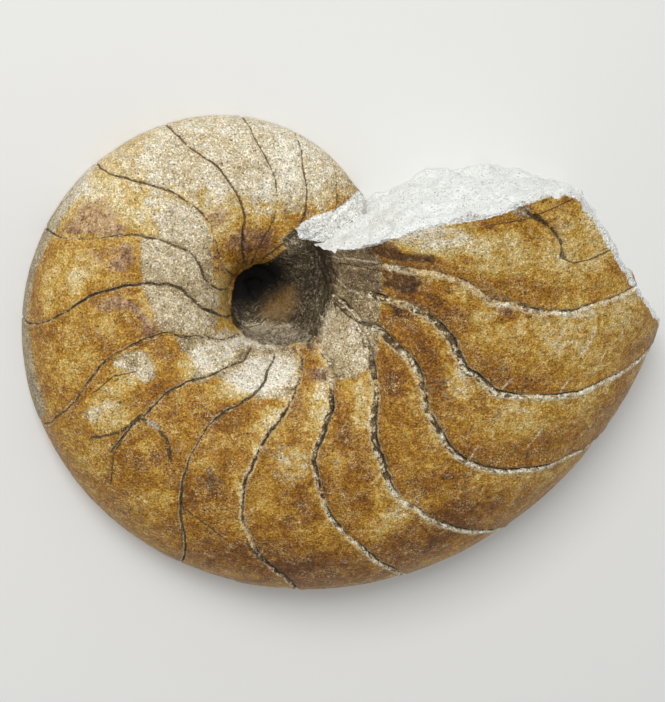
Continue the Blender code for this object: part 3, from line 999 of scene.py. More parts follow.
CHIPS = (
    (0.62, ((69.2, -12.0), (71.6, -6.4))), (0.28, ((61.8, -9.4), (63.8, -5.4))),
    (0.22, ((79.4, -8.4), (81.2, -4.6))), (0.24, ((64.6, -20.4), (66.4, -18.0))),
    (0.22, ((73.0, -17.0), (75.2, -12.6))), (0.7, ((-28.2, -26.2), (-26.8, -27.0))),
    (0.22, ((15.8, 0.2), (17.2, -2.0), (19.3, -3.7), (23.4, -5.2))),
    (0.30, ((11.4, -11.6), (12.9, -13.9))), (0.24, ((13.0, -5.4), (14.3, -7.9), (16.9, -10.9))),
    (0.26, ((15.2, 9.6), (17.6, 10.2), (22.5, 10.2))), (0.22, ((15.8, 4.2), (17.4, 2.5), (19.2, 2.2))),
    (0.24, ((50.0, -18.6), (51.6, -17.0))), (0.22, ((36.0, -31.4), (37.2, -28.4))),
    (0.20, ((43.4, -36.6), (45.0, -33.2))), (0.5, ((83.5, 1.4), (86.1, -1.1))),
    (0.22, ((58.0, -34.0), (61.0, -29.6))),
)
EDGE_REACH = 1.5  # how far the whiteness of the break goes past its line
EDGE_FROM = (11.0, 15.0)  # X between which that edge sets in
LEVEL_STEP = 2.0  # of the heights at which the distance to the break's line is taken
LINE_REACH = (0.7, 1.4)  # distances between which a crack or a chip ends
LINE_FLOOR = (3.0, 8.0)  # heights between which the drawn lines set in
GOUGE_FLOOR = (5.0, 9.0)
ABOVE = (1.0, 5.0)  # heights between which the patches set in
FAR_OFF = 9.0  # millimetres, past the reach of every mark


def line_distance(points, line):
    """Distances in plan from the points to a line of straight runs."""
    nearest = np.full(len(points), 1e9)
    corners = np.array(line, float)
    for start, end in zip(corners, corners[1:]):
        run = end - start
        share = np.clip(((points[:, :2] - start) @ run) / (run @ run), 0.0, 1.0)
        nearest = np.minimum(nearest, np.linalg.norm(points[:, :2] - start - share[:, None] * run, axis=1))
    return nearest


def patch(points, x, y, half_length, half_width, turn, amount, core=0.55, rim=1.25):
    """The amount inside an ellipse in plan, fading round its rim."""
    along = np.array([np.cos(radians(turn)), np.sin(radians(turn))])
    away = points[:, :2] - (x, y)
    u = away @ along / half_length
    v = away @ np.array([-along[1], along[0]]) / half_width
    return amount * (1.0 - smooth(np.hypot(u, v), core, rim))


def region(points, fade, amount, outline):
    """Half the amount on an outline in plan, all of it a fade further in and none a fade further out."""
    ring = list(outline) + [outline[0]]
    x, y = points[:, 0], points[:, 1]
    inside = np.zeros(len(points), bool)
    for (x0, y0), (x1, y1) in zip(ring, ring[1:]):
        slope = (x1 - x0) / (y1 - y0) if y1 != y0 else 0.0
        inside ^= ((y0 > y) != (y1 > y)) & (x < x0 + (y - y0) * slope)
    away = line_distance(points, ring)
    return amount * np.clip(0.5 + 0.5 * np.where(inside, away, -away) / fade, 0.0, 1.0)


def most(points, patches=(), regions=(), **fade):
    """The strongest of the patches and regions at each point."""
    fields = [patch(points, *values, **fade) for values in patches]
    fields += [region(points, *values) for values in regions]
    return np.max(fields, axis=0)


def across_lines(points, lines):
    """How many half widths each point lies across the nearest line, signed by its side, and its nearness."""
    across = np.full(len(points), FAR_OFF)
    nearest = np.full(len(points), FAR_OFF)
    for half_width, line in lines:
        corners = np.array(line, float)
        for start, end in zip(corners, corners[1:]):
            run = end - start
            away = points[:, :2] - start
            distance = line_distance(points, (start, end))
            side = np.sign(run[0] * away[:, 1] - run[1] * away[:, 0])
            nearer = distance < nearest
            across[nearer] = (side * distance)[nearer] / half_width
            nearest = np.minimum(nearest, distance)
    return across, (1.0 - smooth(nearest, *LINE_REACH)) * smooth(points[:, 2], *LINE_FLOOR)


def crust_side(points):
    """How far each point lies outside the crust's edge, in millimetres."""
    edge = np.array(CRUST_EDGE, float)
    wanted = np.interp(points[:, 1], edge[::-1, 1], edge[::-1, 0])
    inside = (points[:, 1] > edge[-1, 1]) & (points[:, 1] < edge[0, 1] + CRUST_OVERLAP)
    return np.where(inside, wanted - points[:, 0], -FAR_OFF)


def gouge_depth(points):
    width, depth, line = GOUGE
    groove = smooth(line_distance(points, line), width, 0.3 * width)
    return depth * groove * smooth(points[:, 2], *GOUGE_FLOOR)


def bareness(points):
    """1 where no lip or groove shows."""
    return most(points, BARE_PATCHES, core=0.8, rim=1.15)


def mark_outside(obj):
    """Adds the marks that the weathered finish reads."""
    mesh = obj.data
    points = np.empty(len(mesh.vertices) * 3, np.float32)
    mesh.vertices.foreach_get("co", points)
    points = points.reshape(-1, 3).astype(float) / MM
    above = smooth(points[:, 2], *ABOVE)
    tone = sum(patch(points, *values) for values in TONE_PATCHES)
    add_attribute(mesh, "tone", tone + sum(region(points, *values) for values in TONE_REGIONS))
    add_attribute(mesh, "stain", most(points, STAIN_PATCHES, STAIN_REGIONS, core=0.2, rim=1.5) * above)
    add_attribute(mesh, "umber", most(points, UMBER_PATCHES, UMBER_REGIONS, core=0.4, rim=1.5) * above)
    add_attribute(mesh, "grey", most(points, GREY_PATCHES, GREY_REGIONS, core=0.5, rim=1.4))
    for name, regions in (("matrix", MATRIX_REGIONS), ("painted_pit_shade", PAINTED_PIT_SHADE_REGIONS), ("gold", GOLD_REGIONS)):
        add_attribute(mesh, name, most(points, regions=regions))
    for name, lines in (("crack", CRACKS), ("chip", CHIPS)):
        across, near = across_lines(points, lines)
        add_attribute(mesh, name, across)
        add_attribute(mesh, f"near {name}", near)
    add_attribute(mesh, "crust", smooth(crust_side(points), -1.0, 1.0))
    near_break = np.full(len(points), FAR_OFF)
    for height in np.arange(0.0, BREAK_HEIGHTS[1], LEVEL_STEP):
        level = np.abs(points[:, 2] - height) <= 0.5 * LEVEL_STEP
        if level.any():
            near_break[level] = line_distance(points[level], break_line(height))
    edge = np.clip(1.0 - near_break / EDGE_REACH, 0.0, 1.0) * smooth(points[:, 0], *EDGE_FROM)
    add_attribute(mesh, "edge", np.maximum(edge, most(points, regions=TIP_REGIONS + EDGE_REGIONS)))


# ---------------------------------------------------------------- finishes

VECTOR = "NodeSocketVector"


def mix_colour(nodes, factor, first, second, blend="MIX"):
    """The first colour where the factor is 0 and the second where it is 1."""
    node = nodes.add("ShaderNodeMix", data_type="RGBA", blend_type=blend)
    for name, value in (("Factor_Float", factor), ("A_Color", first), ("B_Color", second)):
        socket = next(s for s in node.inputs if s.identifier == name)
        nodes.feed(socket, (*value, 1.0) if isinstance(value, tuple) and len(value) == 3 else value)
    return next(s for s in node.outputs if s.identifier == "Result_Color")


def ramp(nodes, value, stops):
    """The colour at a value, from places and colours."""
    node = nodes.add("ShaderNodeValToRGB")
    nodes.feed(node.inputs[0], value)
    elements = node.color_ramp.elements
    for i, (place, colour) in enumerate(stops):
        element = elements[i] if i < 2 else elements.new(place)
        element.position = place
        element.color = (*colour, 1.0)
    return node.outputs[0]


def step_between(nodes, value, low, high):
    """A soft step from 0 at low to 1 at high."""
    node = nodes.add("ShaderNodeMapRange", interpolation_type="SMOOTHSTEP")
    for name, number in (("Value", value), ("From Min", low), ("From Max", high)):
        nodes.feed(node.inputs[name], number)
    return node.outputs[0]


def mark(nodes, name):
    """A mark of the mesh, in a material."""
    return nodes.add("ShaderNodeAttribute", attribute_name=name).outputs["Fac"]


def millimetres(nodes):
    """Object coordinates in millimetres."""
    return nodes.vector("SCALE", nodes.add("ShaderNodeTexCoord").outputs["Object"], scale=1.0 / MM)


def times(nodes, first, second):
    return nodes.math("MULTIPLY", first, second)


def plus(nodes, base, value, amount):
    """The base and an amount of the value."""
    return nodes.math("MULTIPLY_ADD", value, amount, base)


def inverse(nodes, value):
    return nodes.math("SUBTRACT", 1.0, value)


def about_zero(nodes, value):
    """A value from 0 to 1 moved to lie about 0."""
    return nodes.math("SUBTRACT", value, 0.5)


GRAIN_STEP = (0.26, 0.74)  # of the noise, between the grain's least and its most
SPOT_STEP = 0.06  # the same for the edge of a fleck or a pit
RAGGED_NOISE = (4.0, 0.65)  # detail and roughness
LINE_EDGE = (0.6, 1.4)  # half widths over which a drawn line fades


def grain_group():
    """The stone's grain at a size in millimetres: an even value about 0, bright flecks and dark pits."""
    sockets = (
        ("Vector", VECTOR),
        ("Size", FLOAT, 0.5),
        ("Fleck Share", FLOAT, 0.3),
        ("Pit Share", FLOAT, 0.3),
    )
    outs = (("Value", FLOAT), ("Flecks", FLOAT), ("Pits", FLOAT))
    tree, nodes, inputs, outputs = new_tree("Stone grain", "ShaderNodeTree", sockets, outs)
    scale = nodes.math("DIVIDE", 1.0, inputs["Size"])
    fine = nodes.noise(inputs["Vector"], scale, 2.0, 0.65)
    other = nodes.noise(nodes.vector("ADD", inputs["Vector"], (31.0, 17.0, 5.0)), scale, 1.0, 0.5, 0.4)
    third = nodes.noise(nodes.vector("ADD", inputs["Vector"], (-12.0, 41.0, 9.0)), scale, 1.0, 0.5, 0.4)
    even = about_zero(nodes, step_between(nodes, fine, *GRAIN_STEP))
    nodes.feed(outputs["Value"], nodes.math("MULTIPLY", even, 2.0))
    for name, noise, share in (("Flecks", other, "Fleck Share"), ("Pits", third, "Pit Share")):
        low = nodes.math("SUBTRACT", GRAIN_STEP[1], nodes.math("MULTIPLY", inputs[share], 0.4))
        high = nodes.math("ADD", low, SPOT_STEP)
        nodes.feed(outputs[name], step_between(nodes, noise, low, high))
    return tree


def ragged_group():
    """A crisp, ragged mask where a soft field passes a half."""
    sockets = (
        ("Vector", VECTOR),
        ("Field", FLOAT, 0.0),
        ("Size", FLOAT, 2.0),
        ("Raggedness", FLOAT, 0.4),
        ("Softness", FLOAT, 0.1),
    )
    tree, nodes, inputs, outputs = new_tree("Ragged mask", "ShaderNodeTree", sockets, (("Mask", FLOAT),))
    scale = nodes.math("DIVIDE", 1.0, inputs["Size"])
    wander = about_zero(nodes, nodes.noise(inputs["Vector"], scale, *RAGGED_NOISE))
    reach = times(nodes, inputs["Raggedness"], 2.0)
    field = nodes.math("ADD", inputs["Field"], times(nodes, wander, reach))
    low = nodes.math("SUBTRACT", 0.5, inputs["Softness"])
    high = nodes.math("ADD", 0.5, inputs["Softness"])
    nodes.feed(outputs["Mask"], step_between(nodes, field, low, high))
    return tree


def use_group(nodes, tree, **values):
    """A group placed with its inputs set. Names are the group's, with _ for spaces."""
    node = nodes.add("ShaderNodeGroup", node_tree=tree)
    for name, value in values.items():
        nodes.feed(node.inputs[name.replace("_", " ")], value)
    return node.outputs


def new_material(name):
    material = bpy.data.materials.new(name)
    material.use_nodes = True
    nodes = Nodes(material.node_tree)
    shader = material.node_tree.nodes["Principled BSDF"]
    return material, nodes, shader


def bump(nodes, height, distance):
    """A normal bent by a height, whose unit is the distance in millimetres."""
    node = nodes.add("ShaderNodeBump")
    node.inputs["Distance"].default_value = distance * MM
    nodes.feed(node.inputs["Height"], height)
    return node.outputs[0]


AMBER_STOPS = (
    (0.0, (0.128, 0.042, 0.003)), (0.14, (0.214, 0.079, 0.005)), (0.28, (0.316, 0.130, 0.007)),
    (0.42, (0.426, 0.206, 0.017)), (0.55, (0.522, 0.290, 0.037)), (0.67, (0.590, 0.375, 0.079)),
    (0.79, (0.640, 0.460, 0.170)), (0.90, (0.705, 0.562, 0.290)), (1.0, (0.830, 0.722, 0.490)),
)
GREY_STOPS = (
    (0.0, (0.070, 0.052, 0.032)), (0.30, (0.250, 0.190, 0.108)), (0.55, (0.480, 0.390, 0.235)),
    (0.80, (0.700, 0.600, 0.415)), (1.0, (0.870, 0.820, 0.690)),
)
STAIN_STOPS = ((0.0, (0.095, 0.040, 0.024)), (0.45, (0.310, 0.165, 0.088)), (1.0, (0.630, 0.425, 0.225)))
UMBER_STOPS = ((0.0, (0.032, 0.014, 0.006)), (0.45, (0.120, 0.050, 0.013)), (1.0, (0.420, 0.220, 0.066)))
CRUST_STOPS = ((0.0, (0.150, 0.115, 0.070)), (0.5, (0.460, 0.380, 0.240)), (1.0, (0.760, 0.690, 0.540)))
MATRIX_STOPS = (
    (0.20, (0.013, 0.009, 0.004)), (0.45, (0.050, 0.035, 0.016)), (0.64, (0.140, 0.105, 0.058)),
    (0.90, (0.460, 0.390, 0.270)),
)
LIP_STOPS = (
    (0.0, (0.060, 0.042, 0.022)), (0.30, (0.215, 0.150, 0.078)), (0.52, (0.470, 0.370, 0.210)),
    (0.75, (0.740, 0.640, 0.430)), (1.0, (0.900, 0.850, 0.700)),
)
BREAK_STOPS = (
    (0.0, (0.240, 0.240, 0.215)), (0.34, (0.600, 0.605, 0.560)), (0.62, (0.830, 0.845, 0.805)),
    (1.0, (0.900, 0.912, 0.880)),
)
VEIN_COLOUR = (0.70, 0.54, 0.27)
GOLD_COLOUR = (0.210, 0.118, 0.034)
# painted shade: the near-black colour of the pit in the umbilicus
PAINTED_PIT_SHADE_COLOUR = (0.004, 0.003, 0.002)
RIM_COLOUR = (0.76, 0.60, 0.33)
DEEP_GROOVE = (0.066, 0.046, 0.025)
PALE_GROOVE = (0.130, 0.085, 0.045)
GROOVE_FLECKS = (0.40, 0.32, 0.20)
CHIP_COLOUR = (0.80, 0.72, 0.54)

FINE_SIZE = 0.44  # of the grain, in millimetres
COARSE_SIZE = 1.3
BREAK_GRAIN_SIZE = 0.40
STREAK_TURN = 64.0  # degrees from X, along which the newest chambers are streaked
STREAK_SCALE = (0.24, 1.1, 0.5)
FIBRE_ROWS = 2.6  # how closely the fibres lie side by side
FIBRE_LENGTHS = 4.0  # how often they change along their length

# The noises of the weathered stone: scale per millimetre, detail, roughness and distortion.
BLOTCH = (0.13, 2.0, 0.5, 0.4)
MOTTLE = (0.26, 4.0, 0.6, 1.2)
CLOUD = (0.7, 3.0, 0.6, 0.6)
STREAK = (1.0, 4.0, 0.6, 0.3)
VEIN_CURL = (0.55, 1.0, 0.5, 2.4)
VEIN_AREA = (0.22, 1.0, 0.5)
FIBRE = (1.0, 4.0, 0.7, 0.8)
SPARKLE = (0.60, 3.0, 0.62, 0.6)
WANDER = (0.6, 4.0, 0.75)
CHIP_GAPS = (1.4, 2.0, 0.6)

# The edge of each mask: its size in millimetres, how ragged it is and how soft.
MASKS = {
    "stain": (2.0, 0.56, 0.26),
    "umber": (1.8, 0.35, 0.14),
    "grey": (2.0, 0.50, 0.14),
    "crust": (1.2, 0.35, 0.12),
    "matrix": (1.6, 0.40, 0.16),
    "gold": (2.5, 0.25, 0.45),
    "painted_pit_shade": (2.0, 0.25, 0.45),
    "lip": (1.0, 0.50, 0.12),
    "rim": (1.3, 0.42, 0.16),
    "groove": (0.8, 0.80, 0.14),
    "edge": (1.1, 0.50, 0.12),
}
# How much of the stone under it each of them covers at its full strength.
COVERS = {
    "vein": 0.75, "stain": 0.95, "umber": 0.95, "grey": 0.88, "crust": 0.9, "gold": 0.82,
    "painted_pit_shade": 0.98, "rim": 0.7, "lip": 0.94, "groove": 0.88, "chip": 0.56, "edge": 0.92,
}


def on_lines(nodes, name, wander):
    """A mask of the drawn lines of this name, from how many half widths the place lies across them."""
    across = nodes.math("ABSOLUTE", nodes.math("ADD", mark(nodes, name), wander))
    inside = inverse(nodes, step_between(nodes, across, *LINE_EDGE))
    return times(nodes, inside, mark(nodes, f"near {name}"))


def masked(nodes, ragged, place, name, field=None):
    """The named ragged mask, of a field or of the mark of that name."""
    if field is None:
        field = mark(nodes, name)
    values = dict(zip(("Size", "Raggedness", "Softness"), MASKS[name]))
    return use_group(nodes, ragged, Vector=place, Field=field, **values)["Mask"]


def weathered_stone(grain, ragged):
    """The outside: amber stone with its patches, the matrix, the sutures' marks, the grain, and painted shade
    in the pit at the bottom of the umbilicus.
    """
    material, nodes, shader = new_material("weathered amber stone")
    place = millimetres(nodes)
    fine = use_group(nodes, grain, Vector=place, Size=FINE_SIZE, Fleck_Share=0.34, Pit_Share=0.32)
    coarse = use_group(nodes, grain, Vector=place, Size=COARSE_SIZE, Fleck_Share=0.24, Pit_Share=0.12)
    blotch = about_zero(nodes, nodes.noise(place, *BLOTCH))
    mottle = about_zero(nodes, step_between(nodes, nodes.noise(place, *MOTTLE), 0.36, 0.64))
    cloud = about_zero(nodes, nodes.noise(place, *CLOUD))
    turned = nodes.add("ShaderNodeMapping")
    nodes.feed(turned.inputs["Vector"], place)
    turned.inputs["Rotation"].default_value = (0.0, 0.0, -radians(STREAK_TURN))
    turned.inputs["Scale"].default_value = STREAK_SCALE
    streak = about_zero(nodes, nodes.noise(turned.outputs[0], *STREAK))

    # tone: where on the amber scale the stone lies, drawn apart into deep and pale patches
    drift = times(nodes, mark(nodes, "drift"), plus(nodes, 1.0, mottle, 1.2))
    tone = nodes.math("ADD", nodes.math("ADD", 0.42, mark(nodes, "tone")), drift)
    for value, amount in ((blotch, 0.30), (mottle, 0.18), (cloud, 0.38), (streak, 0.34)):
        tone = plus(nodes, tone, value, amount)
    tone = plus(nodes, tone, about_zero(nodes, step_between(nodes, tone, 0.46, 0.66)), 0.10)
    grainy = plus(nodes, tone, fine["Value"], 0.11)
    grainy = plus(nodes, plus(nodes, grainy, fine["Flecks"], 0.12), coarse["Flecks"], 0.05)
    colour = ramp(nodes, grainy, AMBER_STOPS)

    # thin pale veins, curled, where a slow noise allows
    curl = nodes.math("ABSOLUTE", about_zero(nodes, nodes.noise(place, *VEIN_CURL)))
    allowed = step_between(nodes, nodes.noise(place, *VEIN_AREA), 0.45, 0.57)
    vein = inverse(nodes, step_between(nodes, curl, 0.008, 0.030))
    vein = times(nodes, vein, times(nodes, allowed, COVERS["vein"]))
    colour = mix_colour(nodes, vein, colour, VEIN_COLOUR)

    # patches: maroon, dark brown, grey, and the thin crust
    stain = masked(nodes, ragged, place, "stain")
    dapple = plus(nodes, plus(nodes, grainy, mottle, 0.18), cloud, 0.9)
    colour = mix_colour(nodes, times(nodes, stain, COVERS["stain"]), colour, ramp(nodes, dapple, STAIN_STOPS))
    umber = masked(nodes, ragged, place, "umber")
    covering = times(nodes, umber, COVERS["umber"])
    colour = mix_colour(nodes, covering, colour, ramp(nodes, grainy, UMBER_STOPS))
    grey = masked(nodes, ragged, place, "grey")
    speckle = plus(nodes, grainy, fine["Flecks"], 0.12)
    speckle = nodes.math("ADD", speckle, times(nodes, fine["Pits"], -0.10))
    covering = times(nodes, grey, COVERS["grey"])
    colour = mix_colour(nodes, covering, colour, ramp(nodes, speckle, GREY_STOPS))
    crust = masked(nodes, ragged, place, "crust")
    covering = times(nodes, crust, COVERS["crust"])
    colour = mix_colour(nodes, covering, colour, ramp(nodes, speckle, CRUST_STOPS))

    # the fibrous matrix round the umbilicus, its fibres along the coil
    x, y, z = nodes.separate(place)
    flat = nodes.combine(x, y, 0.0)
    radius = plus(nodes, plus(nodes, nodes.vector("LENGTH", flat), blotch, 8.0), cloud, 2.0)
    ring = nodes.add("ShaderNodeCombineXYZ")
    nodes.feed(ring.inputs[0], times(nodes, radius, FIBRE_ROWS))
    nodes.feed(ring.inputs[1], times(nodes, z, 0.5))
    around = nodes.vector("SCALE", nodes.vector("NORMALIZE", flat), scale=FIBRE_LENGTHS)
    fibre = nodes.noise(nodes.vector("ADD", ring.outputs[0], around), *FIBRE)
    fibre = plus(nodes, plus(nodes, plus(nodes, -0.32, fibre, 1.6), fine["Value"], 0.10), cloud, 0.4)
    fibre = plus(nodes, plus(nodes, fibre, mark(nodes, "tone"), 0.5), coarse["Flecks"], 0.16)
    matrix = masked(nodes, ragged, place, "matrix")
    colour = mix_colour(nodes, matrix, colour, ramp(nodes, fibre, MATRIX_STOPS))
    gold = masked(nodes, ragged, place, "gold")
    colour = mix_colour(nodes, times(nodes, gold, COVERS["gold"]), colour, GOLD_COLOUR)
    # painted shade: inside the matrix, the pit at the bottom of the umbilicus goes near black where it lies
    # in shadow
    painted_pit_shade = masked(nodes, ragged, place, "painted_pit_shade")
    painted_pit_shade = times(nodes, times(nodes, painted_pit_shade, matrix), COVERS["painted_pit_shade"])
    colour = mix_colour(nodes, painted_pit_shade, colour, PAINTED_PIT_SHADE_COLOUR)

    # the crystals on each suture's lip, and the pale rim round them
    slow = plus(nodes, times(nodes, mottle, 0.45), blotch, 0.9)
    lip_field = times(nodes, mark(nodes, "lip"), plus(nodes, 1.0, slow, 0.9))
    lip = masked(nodes, ragged, place, "lip", lip_field)
    lip = times(nodes, lip, inverse(nodes, painted_pit_shade))
    sparkle = step_between(nodes, nodes.noise(place, *SPARKLE), 0.38, 0.62)
    crystal = plus(nodes, nodes.math("ADD", -0.16, mark(nodes, "pale")), sparkle, 0.86)
    crystal = plus(nodes, plus(nodes, crystal, fine["Value"], 0.12), slow, 0.55)
    rim_field = nodes.math("ADD", lip_field, plus(nodes, 0.30, cloud, -0.5))
    rim = masked(nodes, ragged, place, "rim", rim_field)
    bare = nodes.math("SUBTRACT", COVERS["rim"], nodes.math("MAXIMUM", grey, matrix), clamp=True)
    rim = times(nodes, nodes.math("SUBTRACT", rim, lip, clamp=True), bare)
    colour = mix_colour(nodes, rim, colour, RIM_COLOUR)
    covering = times(nodes, lip, COVERS["lip"])
    colour = mix_colour(nodes, covering, colour, ramp(nodes, crystal, LIP_STOPS))

    # the grooves and cracks, darker in deep stone than in pale stone; at a stepped suture the dark groove is
    # partly painted shadow under the step's edge
    wander = times(nodes, about_zero(nodes, nodes.noise(place, *WANDER)), 4.0)
    groove = masked(nodes, ragged, place, "groove")
    dark = nodes.math("MAXIMUM", groove, on_lines(nodes, "crack", wander))
    pale_stone = step_between(nodes, mark(nodes, "tone"), 0.12, 0.30)
    groove_colour = mix_colour(nodes, pale_stone, DEEP_GROOVE, PALE_GROOVE)
    flecks = times(nodes, fine["Flecks"], 0.45)
    groove_colour = mix_colour(nodes, flecks, groove_colour, GROOVE_FLECKS)
    colour = mix_colour(nodes, times(nodes, dark, COVERS["groove"]), colour, groove_colour)

    # the chips, and the fresh edge of the break
    edge = masked(nodes, ragged, place, "edge")
    broken = step_between(nodes, nodes.noise(place, *CHIP_GAPS), 0.36, 0.46)
    scratch = times(nodes, on_lines(nodes, "chip", wander), times(nodes, broken, COVERS["chip"]))
    colour = mix_colour(nodes, scratch, colour, CHIP_COLOUR)
    pale_chip = ramp(nodes, plus(nodes, 0.80, fine["Value"], 0.30), BREAK_STOPS)
    colour = mix_colour(nodes, times(nodes, edge, COVERS["edge"]), colour, pale_chip)

    # the grain lightens and darkens all of it
    light = plus(nodes, plus(nodes, 0.955, fine["Value"], 0.24), coarse["Value"], 0.18)
    light = plus(nodes, plus(nodes, light, fine["Flecks"], 0.28), fine["Pits"], -0.46)
    light = plus(nodes, light, coarse["Pits"], -0.18)
    colour = mix_colour(nodes, 1.0, colour, nodes.combine(light, light, light), "MULTIPLY")
    nodes.feed(shader.inputs["Base Color"], colour)

    # gleam and fine relief
    dull = nodes.math("MAXIMUM", nodes.math("MAXIMUM", matrix, crust), nodes.math("MAXIMUM", grey, lip))
    rough = plus(nodes, plus(nodes, 0.46, fine["Value"], 0.16), dull, 0.24)
    rough = plus(nodes, rough, painted_pit_shade, 0.3)
    rough = plus(nodes, rough, nodes.math("MAXIMUM", umber, gold), -0.10)
    nodes.feed(shader.inputs["Roughness"], nodes.math("MAXIMUM", rough, times(nodes, dark, 0.9)))
    shader.inputs["Specular IOR Level"].default_value = 0.32
    height = plus(nodes, plus(nodes, fine["Value"], coarse["Value"], 0.9), fine["Pits"], -0.9)
    height = plus(nodes, height, times(nodes, mark(nodes, "lip"), sparkle), 3.0)
    height = times(nodes, height, plus(nodes, 1.0, mark(nodes, "gold"), -0.85))
    nodes.feed(shader.inputs["Normal"], bump(nodes, height, 0.065))
    return material


def fresh_break(grain):
    """The white broken end."""
    material, nodes, shader = new_material("fresh white break")
    place = millimetres(nodes)
    fine = use_group(nodes, grain, Vector=place, Size=BREAK_GRAIN_SIZE, Fleck_Share=0.5, Pit_Share=0.36)
    cloud = about_zero(nodes, nodes.noise(place, 0.22, 4.0, 0.7, 0.3))
    band = nodes.noise(nodes.vector("MULTIPLY", place, (0.5, 0.5, 1.6)), 1.0, 3.0, 0.6)
    band = about_zero(nodes, band)
    tone = 0.84
    for value, amount in ((cloud, 0.5), (band, 0.45), (fine["Value"], 0.46), (fine["Pits"], -0.42)):
        tone = plus(nodes, tone, value, amount)
    nodes.feed(shader.inputs["Base Color"], ramp(nodes, tone, BREAK_STOPS))
    nodes.feed(shader.inputs["Roughness"], plus(nodes, 0.72, fine["Value"], 0.1))
    shader.inputs["Specular IOR Level"].default_value = 0.3
    nodes.feed(shader.inputs["Normal"], bump(nodes, nodes.math("ADD", tone, cloud), 0.12))
    return material


LINING_STOPS = ((0.0, (0.30, 0.17, 0.06)), (0.5, (0.66, 0.50, 0.27)), (1.0, (0.84, 0.76, 0.60)))
CALCITE_STOPS = (
    (0.0, (0.070, 0.032, 0.012)), (0.25, (0.190, 0.092, 0.026)), (0.5, (0.420, 0.240, 0.075)),
    (0.75, (0.600, 0.420, 0.190)), (1.0, (0.780, 0.690, 0.500)),
)
SEDIMENT_STOPS = ((0.0, (0.110, 0.085, 0.055)), (0.5, (0.270, 0.220, 0.150)), (1.0, (0.460, 0.400, 0.300)))
SEPTUM_DIP = 22.0  # degrees that the middle of a septum lies behind its ends
SIPHUNCLE = 0.47  # its place between a whorl's venter, 0, and the venter of the whorl before, 1
TUBE_RADIUS = 0.8
MUD_CORE = 4.0  # the radius round the axis that is mudstone too
PAST_LAST = 99.0  # keeps the septa that would follow the last one away
SEPTUM_COLOUR = (0.100, 0.055, 0.024)
TUBE_COLOUR = (0.090, 0.048, 0.020)


